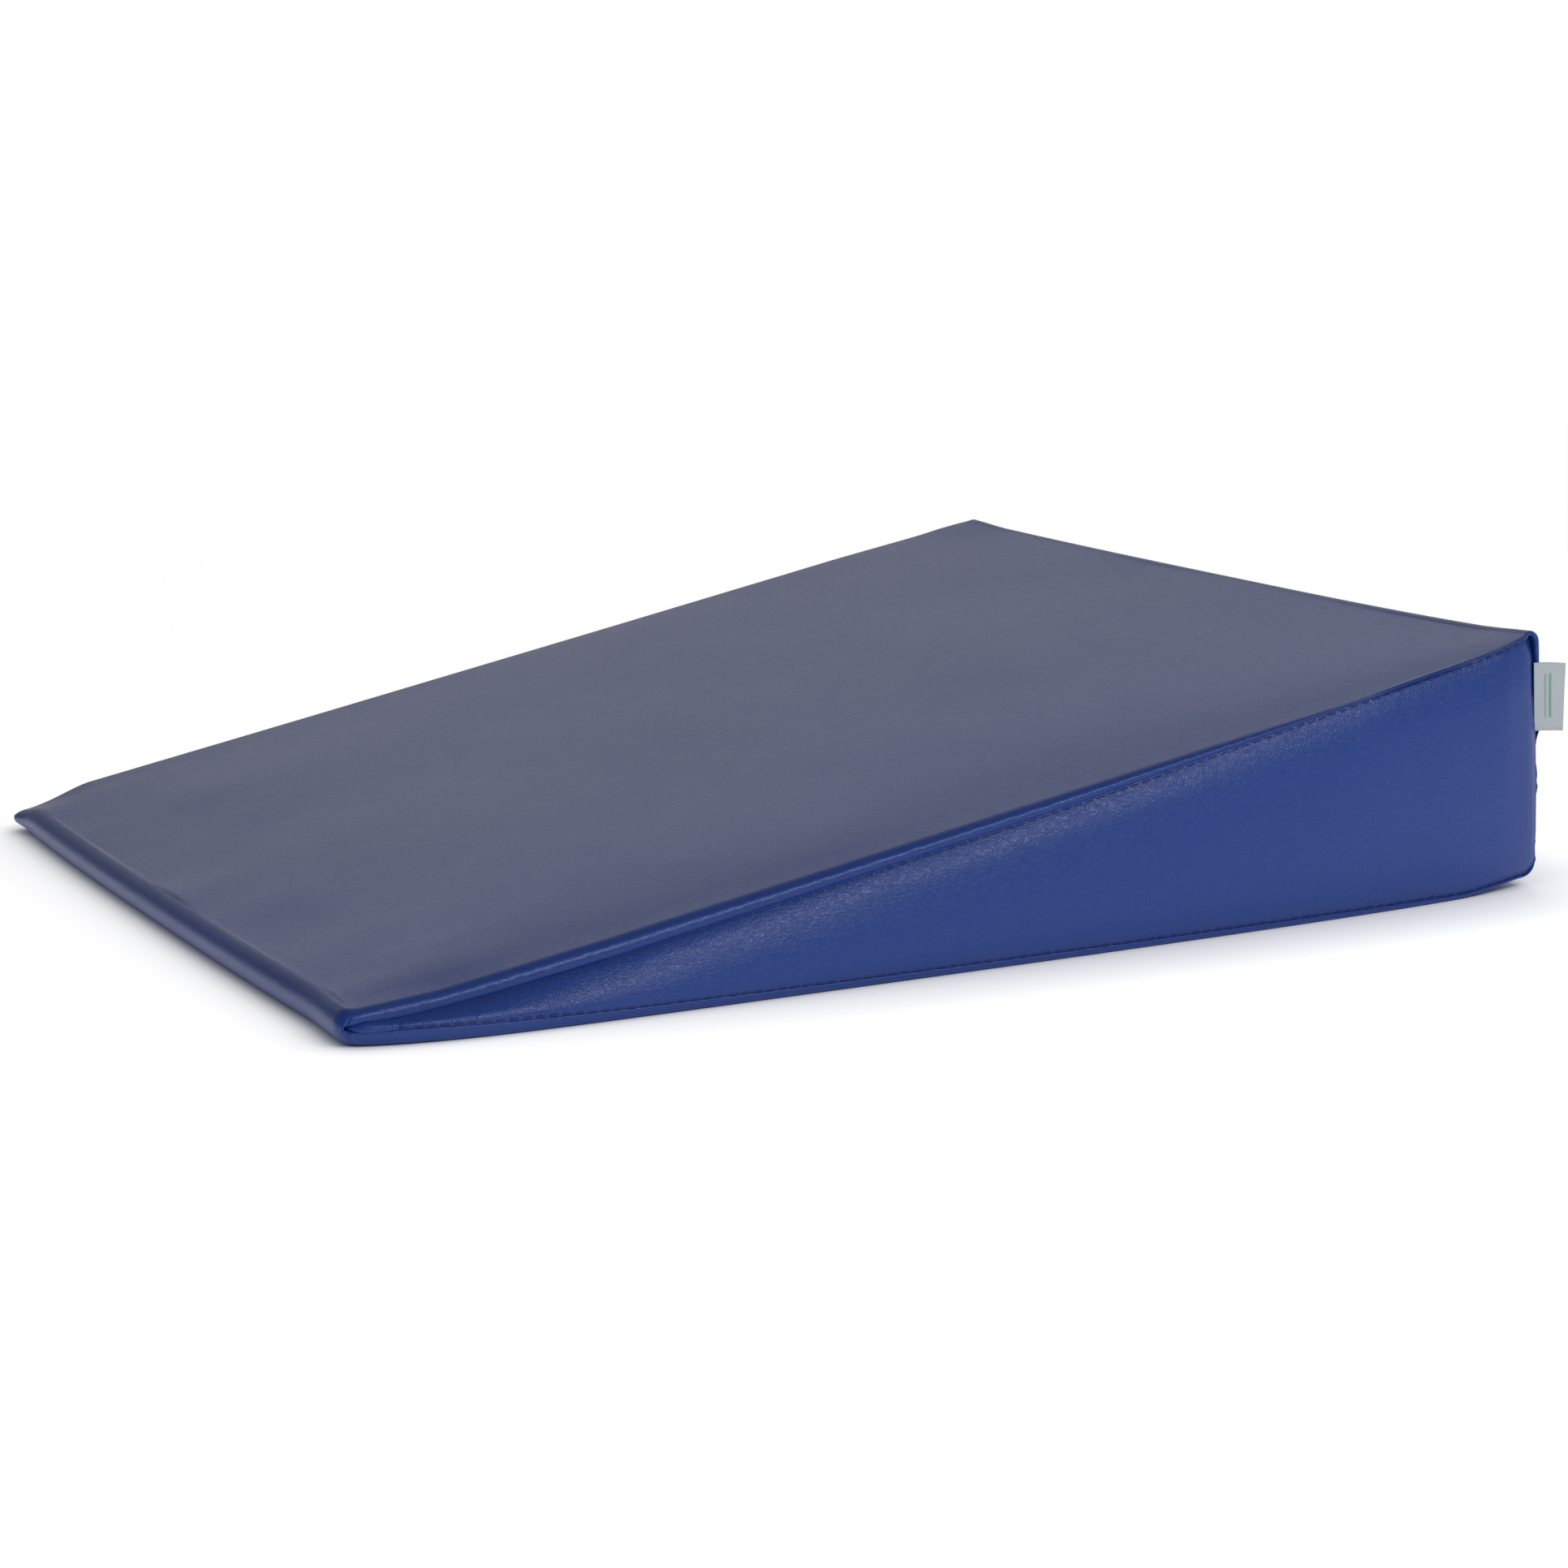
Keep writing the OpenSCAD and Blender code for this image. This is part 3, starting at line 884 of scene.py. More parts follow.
class Cover:
    """Everything that the panels, stitches and zip take from the cover's shape."""

    curl = math.radians(96)
    squareness = 0.88

    def __init__(self):
        self.line = Outline()

    def side_y(self, side):
        """How far out a side's seam is, row by row."""
        return self.line.half_width + self.line.bow[side]

    def settle(self, points):
        """The large soft shape: the swelling nose, the sagging tall edge and its raised corners."""
        line, sizes = self.line, cover()
        x, y, z = points[..., 0], points[..., 1], points[..., 2]
        sideways = y / line.half_width
        across = np.clip(np.abs(sideways), 0, 1)
        from_nose = x - line.nose_x
        forward = sizes.nose_swell * (1 - across ** 2.6) * (1 - smooth(0, 46 * MM, from_nose))
        at_peak = smooth(line.peak[0] - 150 * MM, line.peak[0], x) * smooth(0.045, 0.09, z)
        lean = 1 - 0.35 * np.clip(sideways, -1, 1)
        dip = sizes.back_sag * (1 - across ** 3.0) * lean * at_peak
        ears = 0.9 * MM * smooth(0.86, 1.0, across) * smooth(
            line.peak[0] - 30 * MM, line.peak[0], x) * smooth(0.06, 0.09, z)
        # the nose's far corner turns up to a tip, and its near one only reaches forwards
        beak = smooth(0.86, 1.0, sideways) * (1 - smooth(2 * MM, 36 * MM, from_nose))
        near_corner = smooth(0.80, 1.0, -sideways) * (1 - smooth(4 * MM, 44 * MM, from_nose))
        heel = smooth(line.back_x - 46 * MM, line.back_x + 2 * MM, x) ** 1.3 * smooth(
            0.55, 1.0, across) * (1 - smooth(0, 22 * MM, z))
        low = z + sizes.heel_lift * heel
        out = points.copy()
        out[..., 0] = x - forward - 2.4 * MM * beak ** 2 - 2.6 * MM * near_corner
        out[..., 1] = y - np.sign(y) * 3.0 * MM * beak * smooth(-0.2, 1, beak)
        out[..., 2] = low * (1 - 0.50 * beak) + 2.7 * MM * beak - dip + ears
        return out

    def wrap_edge(self, side, seed):
        """One edge of the wrap, from the panel's flat out: how far out, and how far down."""
        line, sizes = self.line, cover()
        u, y_out = line.u[:, None], self.side_y(side)[:, None]
        roll, depth = line.roll[:, None], line.depth[:, None]
        width = np.minimum(sizes.ridge_width, 0.4 * line.depth)[:, None]
        ridge = sizes.ridge_height * smooth(7 * MM, 16 * MM, line.near_nose()[:, None])
        ridge = ridge * (0.9 + 0.1 * np.cos(2 * math.pi * u / sewing().stitch_pitch))
        wrinkle = ripple(u, 7 * MM, seed) + 0.6 * ripple(u, 3.6 * MM, seed + 1)
        # the roll turns past upright and curls under towards the seam
        steps = np.linspace(0, 1, 15)[None]
        turn = steps * self.curl
        sine = np.where(turn > math.pi / 2, np.sin(turn),
                        np.sin(np.minimum(turn, math.pi / 2)) ** self.squareness)
        cosine = np.sign(np.cos(turn)) * np.abs(np.cos(turn)) ** self.squareness
        end = -abs(math.cos(self.curl)) ** self.squareness
        droop = line.droop[:, None] * (side == LEFT)
        fade = smooth(0.35, 0.9, steps)
        roll_out = y_out + roll * (sine - math.sin(self.curl)) + sizes.pucker * wrinkle * fade
        roll_down = droop + (depth - width - droop) * (1 - cosine) / (1 - end)
        roll_down = roll_down + sizes.pucker * 1.2 * wrinkle * fade * (1 - 0.6 * steps)
        # then comes the thin fold that the stitches raise, and what is tucked in behind it
        t = np.linspace(0, 1, 7)[None, 1:]
        bead = ridge * np.sin(math.pi * t ** 0.85) ** 0.75 - 0.7 * MM * t ** 2
        ridge_out = y_out + bead + sizes.pucker * wrinkle * (1 - t)
        ridge_down = depth - width + width * t
        tuck_out = y_out - np.array([1.8, 3.0, 4.2])[None] * MM
        tuck_down = depth + np.array([0.12, 0.22, 0.3])[None] * MM + 0 * y_out
        return (np.concatenate([roll_out, ridge_out, tuck_out], axis=1),
                np.concatenate([roll_down, ridge_down, tuck_down], axis=1))

    def wrap(self, seed):
        """The long panel: rows along the outline, columns from the left seam to the right one."""
        line, sizes = self.line, cover()
        u, near = line.u[:, None], line.near_nose()[:, None]
        left_out, left_down = self.wrap_edge(LEFT, seed + 20)
        right_out, right_down = self.wrap_edge(RIGHT, seed + 100)
        even = np.linspace(-1, 1, 33)[1:-1]
        spread = np.sin(even * math.pi / 2 * 0.9) / math.sin(math.pi * 0.45)
        spread = (0.45 * spread + 0.55 * even)[None]
        middle = (right_out[:, :1] + left_out[:, :1]) / 2 * spread
        sink = line.droop[:, None] * np.maximum(-spread, 0) ** 9
        y = np.concatenate([-left_out[:, ::-1], middle, right_out], axis=1)
        down = np.concatenate([left_down[:, ::-1], sink, right_down], axis=1)
        across = np.clip(np.abs(y) / line.half_width, 0, 1)
        soft = swell(y, u, 120 * MM, seed + 5) * sizes.dent
        nose_soft = swell(y, u, 42 * MM, seed + 6, 1.3) * sizes.dent * 1.8
        nose_soft = nose_soft * np.exp(-near / (60 * MM))
        soft = soft * line.by_stretch({SLOPE: 1.0, HIGH_BACK: 0.5, LOW_BACK: 0.5})[:, None]
        nose_soft = nose_soft * line.by_stretch({SLOPE: 1.0})[:, None]
        lift = line.proud[:, None] - down + (soft + nose_soft) * smooth(1.0, 0.93, across)
        drawn = line.forward()[:, None] * np.clip(down / line.depth[:, None], 0, 1.1) ** 1.5
        points = np.stack([
            line.x[:, None] + line.nx[:, None] * lift - drawn,
            y,
            line.z[:, None] + line.nz[:, None] * lift], axis=-1)
        return self.settle(points)

    def hem_curl(self, grid):
        """The folded edges at both ends of the wrap, turned in behind the hems."""
        radius = self.line.hem_fold_r
        extra = []
        for end, rise in ((grid[0], -1), (grid[-1], 1)):
            rows = []
            for k in range(1, 6):
                angle = math.pi / 2 * k / 5
                row = end.copy()
                row[:, 0] -= radius * (1 - math.cos(angle))
                row[:, 2] += rise * 0.55 * radius * math.sin(angle)
                rows.append(row)
            tail = rows[-1].copy()
            tail[:, 0] -= 1.0 * MM
            rows.append(tail)
            extra.append(np.array(rows))
        return np.concatenate([extra[0][::-1], grid, extra[1]])

    def gusset_edges(self, side):
        """The seam's lower and upper runs in the side view, both from the nose to the back."""
        line = self.line
        seam, bow = line.seam(), line.bow[side]
        peak, nose, heel = (np.flatnonzero(line.part == stretch) for stretch in (PEAK, NOSE, HEEL))
        over = slice(peak[len(peak) // 2], nose[0] + 9)
        under = slice(nose[-1] - 9, heel[len(heel) // 2] + 1)
        return (seam[under], bow[under]), (seam[over][::-1], bow[over][::-1])

    def swell_from_seam(self, gap):
        """How far a side panel stands out at a distance from its seam."""
        valley = -1.0 * MM * np.exp(-(gap / (0.9 * MM)) ** 1.4)
        return valley + cover().shoulder * (1 - np.exp(-gap / (6.0 * MM)))

    def gusset(self, side, seed):
        """A side panel: columns from the nose to the back, rows from its lower seam to its upper."""
        sizes, line = cover(), self.line
        count, levels = 560, 50
        t = np.linspace(0, 1, count)
        t = 0.72 * t + 0.28 * (0.5 - 0.5 * np.cos(math.pi * t))
        runs = []
        for edge, bow in self.gusset_edges(side):
            length = np.concatenate([[0], np.cumsum(np.linalg.norm(np.diff(edge, axis=0), axis=1))])
            at = t * length[-1]
            runs.append(np.stack([np.interp(at, length, edge[:, 0]),
                                  np.interp(at, length, edge[:, 1]),
                                  np.interp(at, length, bow)], axis=1))
        low, high = runs
        s = np.linspace(0, 1, levels)
        s = 0.25 * s + 0.75 * (0.5 - 0.5 * np.cos(math.pi * s))
        mixed = low[:, None] * (1 - s[None, :, None]) + high[:, None] * s[None, :, None]
        height = np.linalg.norm(high[:, :2] - low[:, :2], axis=1)[:, None]
        along = (t * (line.back_x - line.nose_x))[:, None]
        to_back = (line.back_x - line.nose_x) - along
        rise = s[None] * height
        fall = (1 - s[None]) * height
        x, z = mixed[..., 0], mixed[..., 1]
        gap = np.minimum(rise, fall)
        upright = smooth(58 * MM, 74 * MM, z)
        crown = sizes.side_crown * np.clip(height / (70 * MM), 0.12, 1) ** 0.8
        dome = np.clip(4 * s * (1 - s), 0, 1)[None] * (1 - 0.6 * np.exp(-to_back / (34 * MM)))
        tip = -5.0 * MM * np.exp(-(along / (4.0 * MM)) ** 2)
        out = line.half_width + mixed[..., 2] + crown * dome + self.swell_from_seam(gap) + tip
        out = out - 0.5 * MM * np.exp(-to_back / (1.2 * MM)) * (0.3 + upright)
        out = out - (0.3 + 1.2 * upright) * MM * np.exp(-to_back / (9.0 * MM))
        from_top = np.exp(-fall / (7 * MM))
        from_low = np.exp(-rise / (6 * MM))
        pleat = ripple(along + 0.35 * fall, 7.5 * MM, seed) + 0.6 * ripple(
            along - 0.2 * fall, 3.9 * MM, seed + 1)
        out = out + sizes.pucker * pleat * from_top * smooth(0.4 * MM, 2.2 * MM, fall)
        out = out + 0.7 * sizes.pucker * ripple(along, 6 * MM, seed + 2) * from_low * smooth(
            0.4 * MM, 2.2 * MM, rise)
        soft = swell(x + 0.5 * z, z, 38 * MM, seed + 3, 0.8) * 0.6 + swell(
            x - 0.4 * z, z, 15 * MM, seed + 4, 0.7) * 0.16
        out = out + sizes.dent * soft * smooth(0, 9 * MM, gap)
        tuck = np.exp(-np.minimum(gap, to_back) / (0.35 * MM))
        out = out - 0.9 * MM * tuck
        points = np.stack([x, side * out, z], axis=-1)
        # the rims run on a little under the ridge, and the back edge to the wrap's own back
        beyond = 0.5 * MM * unit(high[:, :2] - low[:, :2])
        for row, sign in ((0, -1), (-1, 1)):
            points[:, row, ::2] += sign * beyond
        points[-1, :, 0] += 1.6 * MM
        if side == LEFT:
            # room for the end of the zip
            by_zip = np.exp(-((points[-1, :, 2] - line.zip_z) / (5 * MM)) ** 2)
            points[-1, :, 0] -= 1.2 * MM * by_zip
        points = self.settle(points)
        near = np.exp(-np.minimum(gap, to_back) / (7 * MM)) + 0 * x
        if side == LEFT:
            return points, near
        # the seam allowance turns in behind the wrap and closes the upright seam
        allowance = points[-1:] - np.array([1.3, 2.4, 0.0]) * MM
        points = np.concatenate([points, allowance])
        near = np.concatenate([near, near[-1:]])
        return points[:, ::-1], near[:, ::-1]

    def seam_run(self, side):
        """The seam as one line from the upper hem round to the lower hem, with its bow."""
        flat = self.line.seam()
        return np.stack([flat[:, 0], side * self.side_y(side), flat[:, 1]], axis=1)


@functools.cache
def the_cover():
    """The one cover, which all the operators share."""
    return Cover()


def stitch_tubes(run, out_of, seed):
    """Thread that shows in stitches along run, each end dipping into the cloth."""
    sizes = sewing()
    rng = np.random.default_rng(seed)
    gaps = np.linalg.norm(np.diff(run, axis=0), axis=1)
    length = np.concatenate([[0], np.cumsum(gaps)])
    count = int((length[-1] - sizes.stitch_length) // sizes.stitch_pitch) + 1
    margin = (length[-1] - (count - 1) * sizes.stitch_pitch) / 2
    centres = margin + np.arange(count) * sizes.stitch_pitch
    centres = centres + rng.uniform(-1, 1, count) * 0.12 * MM
    spans = sizes.stitch_length * rng.uniform(0.93, 1.03, count)
    ring = np.linspace(-0.5, 0.5, 9)
    at = centres[:, None] + spans[:, None] * ring[None]
    points = np.stack([np.interp(at, length, run[:, k]) for k in range(3)], axis=-1)
    outward = np.stack([np.interp(at, length, out_of[:, k]) for k in range(3)], axis=-1)
    outward = unit(outward)
    ahead = unit(np.gradient(points, axis=1))
    across = unit(np.cross(ahead, outward))
    lean = rng.uniform(-0.20, 0.20, count)[:, None, None] * MM * ring[None, :, None]
    points = points + across * lean
    dip = (np.abs(ring) * 2) ** 3.5
    radius = sizes.thread_width / 2
    points = points - outward * (dip * 1.44 * radius)[None, :, None]
    girth = radius * (1 - 0.45 * dip)[None] * np.ones((count, 1))
    return sweep(points, (across, outward), girth, girth * 0.85)


# --- operators, one for each piece or group of like pieces ---


class WEDGE_OT_foam(bpy.types.Operator):
    """Make the foam block inside the cover"""

    bl_idname = "wedge.foam"
    bl_label = "Foam block"

    def execute(self, context):
        line = the_cover().line
        half = line.half_width - 4.6 * MM
        # how far each ring is inside the cover's outline, and how far short of the side it ends
        rim = [(5.0, 0.0), (2.6, 0.6), (1.0, 2.0), (0.3, 3.6), (0.0, 5.4)]
        levels = [(inset * MM, half - away * MM) for inset, away in rim]
        flat = [(0.0, y) for y in np.linspace(half - 12 * MM, -half + 12 * MM, 24)]
        levels = levels + flat + [(inset, -y) for inset, y in levels[::-1]]
        keep = np.arange(0, len(line.x), 4)
        rings = []
        for inset, y in levels:
            by = inset + 2.2 * MM + 1.5 * line.droop[keep] * (abs(y) / half) ** 6
            x = line.x[keep] - line.nx[keep] * by
            z = line.z[keep] - line.nz[keep] * by
            wave = swell(x, np.full_like(x, y) + z, 30 * MM, 3) * 0.15 * MM
            rings.append(np.stack([x + line.nx[keep] * wave, np.full_like(x, y),
                                   z + line.nz[keep] * wave], axis=1))
        rings = the_cover().settle(np.array(rings))
        faces = ring_faces(*rings.shape[:2])
        block = make_piece("foam_block", (rings.reshape(-1, 3), faces), foam_finish(),
                           "cushion", ["foam_core"])
        return {"FINISHED"}


class WEDGE_OT_wrap(bpy.types.Operator):
    """Make the cover's long panel: back, slope, nose and base in one piece"""

    bl_idname = "wedge.wrap"
    bl_label = "Wrap panel"

    def execute(self, context):
        form = the_cover()
        grid = form.hem_curl(form.wrap(sewing().seed))
        columns = grid.shape[1]
        edge = [0, 3, 7, 11, 16, 21]
        keep = edge + list(range(26, columns - 26, 5)) + [columns - 1 - i for i in edge[::-1]]
        shape = shell(grid, VINYL_THICKNESS, keep)
        from_edge = np.minimum(np.arange(columns), np.arange(columns)[::-1])
        near = np.broadcast_to(1 - smooth(9, 22, from_edge), grid.shape[:2])
        near = np.concatenate([near.ravel(), near[:, keep].ravel()])
        piece = make_piece("cover_wrap", shape, vinyl_finish("vinyl_wrap", 0.6, (0, 0, 0)),
                           "cushion", ["wrap_panel"], crease=60, near_seam=near)
        return {"FINISHED"}


class WEDGE_OT_sides(bpy.types.Operator):
    """Make the two side panels"""

    bl_idname = "wedge.sides"
    bl_label = "Side panels"

    def execute(self, context):
        finish = vinyl_finish("vinyl_sides", 1.0, (0.31, 0.17, 0.23))
        for side in (LEFT, RIGHT):
            grid, near = the_cover().gusset(side, sewing().seed + 20 + 7 * side)
            keep = list(range(0, grid.shape[1] - 1, 7)) + [grid.shape[1] - 1]
            near = np.concatenate([near.ravel(), near[:, keep].ravel()])
            name = SIDE_NAMES[side]
            piece = make_piece(f"cover_side_{name}", shell(grid, VINYL_THICKNESS, keep), finish,
                               "cushion", [f"side_panel_{name}"], crease=60,
                               near_seam=near)
        return {"FINISHED"}


class WEDGE_OT_seam_stitching(bpy.types.Operator):
    """Make the topstitching round both side panels"""

    bl_idname = "wedge.seam_stitching"
    bl_label = "Seam stitching"
    from_seam = 0.5 * MM
    sunk_by = 1.1 * MM
    bare_nose = 9 * MM

    def execute(self, context):
        form, finish = the_cover(), thread_finish()
        for side in (LEFT, RIGHT):
            name = SIDE_NAMES[side]
            run = self.laid_on(bpy.data.objects[f"cover_side_{name}"].data, side)
            clear = np.hypot(run[:, 0] - form.line.nose[0], run[:, 2] - form.line.nose[1])
            nose = int(np.argmin(clear))
            tubes = []
            for k, span in enumerate((slice(2, nose), slice(nose, len(run) - 2))):
                places = run[span][clear[span] > self.bare_nose]
                tubes.append(stitch_tubes(places, towards(places, y=side), 90 + side + 5 * k))
            make_piece(f"stitching_{name}", join(*tubes), finish, "cushion",
                       [f"seam_thread_{name}"])
        return {"FINISHED"}

    def laid_on(self, panel, side):
        """The seam's run, laid on a side panel, and sunk out of sight up the back."""
        form = the_cover()
        line = form.line
        inward = np.stack([-line.nx, 0 * line.nx, -line.nz], axis=1)
        run = form.settle(form.seam_run(side) + inward * self.from_seam)
        tree = BVHTree.FromPolygons([v.co for v in panel.vertices],
                                    [p.vertices for p in panel.polygons])
        for place, stretch in zip(run, line.part):
            if stretch in (HIGH_BACK, LOW_BACK):
                place[0] -= self.sunk_by
                place[1] -= side * self.sunk_by
                continue
            start = Vector((place[0], side * 0.4, place[2]))
            hit = tree.ray_cast(start, Vector((0, -side, 0)))[0]
            if hit is not None:
                place[1] = hit.y + side * 0.08 * MM
        run[:, 1] = softened(run[:, 1], 3)
        return run


class WEDGE_OT_zip_tapes(bpy.types.Operator):
    """Make the two woven tapes that carry the teeth"""

    bl_idname = "wedge.zip_tapes"
    bl_label = "Zip tapes"

    def execute(self, context):
        finish = tape_finish()
        for name in ("upper", "lower"):
            low, high = cad_span(f"zip_tape_{name}")
            y = np.linspace(low[1], high[1], 260)
            z = np.linspace(low[2], high[2], 15)
            ribs = 0.05 * MM * np.cos((z - low[2]) * 2 * math.pi / (2.1 * MM))
            wave = 0.08 * MM * ripple(y, 22 * MM, 60)
            x = high[0] - 0.05 * MM + ribs[None] + wave[:, None]
            grid = np.stack([x, y[:, None] + 0 * x, z[None] + 0 * x], axis=-1)
            shape = shell(facing(grid, (1, 0, 0), len(y) // 2), 0.5 * MM, list(range(0, 15, 2)))
            piece = make_piece(f"tape_{name}", shape, finish, "cushion",
                               [f"zip_tape_{name}"])
        return {"FINISHED"}


class WEDGE_OT_zip_teeth(bpy.types.Operator):
    """Make the two rows of coil teeth, which mesh along the zip's middle"""

    bl_idname = "wedge.zip_teeth"
    bl_label = "Zip teeth"

    def execute(self, context):
        finish = teeth_finish()
        middle = the_cover().line.zip_z
        # the upper row starts at once, and the lower one half a tooth later
        for name, way, start in (("upper", 1, 0.9 * MM), ("lower", -1, 1.65 * MM)):
            low, high = cad_span(f"zip_teeth_{name}")
            coil = self.coil(low, high, middle, way, start)
            cord = self.cord(low, high, middle + way * 2.45 * MM)
            make_piece(f"teeth_{name}", join(coil, cord), finish, "cushion",
                       [f"zip_teeth_{name}"])
        return {"FINISHED"}

    def coil(self, low, high, middle, way, start):
        """One row's teeth: each a short bent rod with a fatter head at the zip's middle."""
        pitch = sewing().tooth_pitch
        count = int((high[1] - low[1] - 1.2 * MM) // pitch)
        y = low[1] + start + np.arange(count) * pitch
        t = np.linspace(0, 1, 8)
        x = low[0] + 1.05 * MM + 0.45 * MM * np.sin(math.pi * np.clip(t * 1.15, 0, 1))
        x = x - 0.5 * MM * t ** 3
        centres = np.stack([
            np.broadcast_to(x, (count, 8)),
            y[:, None] + 0.12 * MM * t[None],
            np.broadcast_to(middle + way * (3.5 * MM * t - 0.7 * MM), (count, 8))], axis=-1)
        ahead = unit(np.gradient(centres, axis=1))
        across = unit(np.cross(ahead, towards(centres, x=1)))
        rise = unit(np.cross(across, ahead))
        fat = 0.40 * MM * (1 - 0.55 * (2 * np.abs(t - 0.5)) ** 6)
        fat = fat * (1 + 0.22 * np.exp(-((t - 0.12) / 0.13) ** 2))
        girth = np.broadcast_to(fat, (count, 8))
        return sweep(centres, (across, rise), girth, girth * 0.95)

    def cord(self, low, high, z):
        """The cord that the row's teeth are wound round."""
        y = np.linspace(low[1], high[1], 500)
        run = np.stack([np.full(500, low[0] + 0.45 * MM), y, np.full(500, z)], axis=-1)[None]
        girth = 0.42 * MM * (1 + 0.12 * np.cos(y * 2 * math.pi / sewing().tooth_pitch))[None]
        return sweep(run, (towards(run, z=1), towards(run, x=1)), girth, girth)


class WEDGE_OT_zip_stitching(bpy.types.Operator):
    """Make the two rows of stitches that hold the zip"""

    bl_idname = "wedge.zip_stitching"
    bl_label = "Zip stitching"

    def execute(self, context):
        finish = bpy.data.materials["thread_twisted"]
        line = the_cover().line
        for name in ("upper", "lower"):
            low, high = cad_span(f"zip_thread_{name}")
            y = np.linspace(low[1], high[1], 900)
            z = (low[2] + high[2]) / 2
            row = int(np.argmin(np.abs(line.z - z) + (line.nx < 0.99)))
            x = line.back_x + line.proud[row] + 0.12 * MM
            run = np.stack([np.full_like(y, x), y, np.full_like(y, z)], axis=1)
            make_piece(f"zip_stitching_{name}", stitch_tubes(run, towards(run, x=1), 75), finish,
                       "cushion", [f"zip_thread_{name}"])
        return {"FINISHED"}


def facing_back(shape, x, y, z, way=-1):
    """A plate made flat, stood up against the back: its length along Y, its top towards +X.
    way says which way along Y its length runs."""
    points, faces = shape
    stood = np.stack([x + points[:, 2], y + way * points[:, 0], z + points[:, 1]], axis=1)
    return stood, [face[::-way] for face in faces]


class WEDGE_OT_zip_slider(bpy.types.Operator):
    """Make the zip's slider"""

    bl_idname = "wedge.zip_slider"
    bl_label = "Zip slider"

    def execute(self, context):
        low, high = cad_span("zip_slider")
        y, z = (low[1] + high[1]) / 2, (low[2] + high[2]) / 2
        length, width = high[1] - low[1], high[2] - low[2]
        plate = 1.2 * MM
        outer_x = low[0] + 4.4 * MM
        outer_top = outer_x + plate

        def dome(across):
            return -0.35 * MM * (np.abs(across) / (width / 2)) ** 2

        outline = rounded_outline(length, width, 2.2 * MM, taper=0.7 * MM)
        outer = slab(outline, 0, plate, 0.38 * MM, dome)
        inner = slab(outline, 0, plate, 0.38 * MM)
        neck = slab(rounded_outline(3.0 * MM, 0.5 * MM, 0.22 * MM, 3), 0, 3.4 * MM, 0.05 * MM)
        flange = slab(rounded_outline(length * 0.62, 0.8 * MM, 0.3 * MM, 3), 0, 1.5 * MM, 0.1 * MM)
        rib = slab(rounded_outline(0.5 * MM, width * 0.62, 0.2 * MM, 3), 0, 0.30 * MM, 0.1 * MM)
        parts = [facing_back(outer, outer_x, y, z),
                 facing_back(inner, low[0], y, z),
                 facing_back(neck, low[0] + 1.1 * MM, y + length / 2 - 2.2 * MM, z)]
        for side in (LEFT, RIGHT):
            parts.append(facing_back(flange, outer_x - 1.35 * MM, y - length * 0.14,
                                     z + side * (width / 2 - 0.42 * MM)))
        parts.append(self.crown(y, z, outer_top - 0.35 * MM, high[0] - 0.30 * MM))
        parts.append(facing_back(rib, outer_top - 0.17 * MM, y - length / 2 + 1.5 * MM, z))
        make_piece("slider", join(*parts), metal_finish(), "slider", ["zip_slider"],
                   crease=35)
        return {"FINISHED"}

    def crown(self, y, z, foot, top):
        """The bent strap that holds the pull, with its two feet in the outer plate."""
        turn = np.linspace(0, math.pi, 25)
        arch_y = y - 3.0 * MM * np.cos(turn) * (1 - 0.12 * np.sin(turn) ** 2)
        arch_x = foot + (top - foot) * np.sin(turn) ** 0.62
        arch = np.stack([arch_x, arch_y, np.full(25, z)], axis=-1)[None]
        across = towards(arch, z=1)
        outward = unit(np.cross(across, unit(np.gradient(arch, axis=1))))
        return sweep(arch, (across, outward), np.full((1, 25), 0.8 * MM),
                     np.full((1, 25), 0.30 * MM))


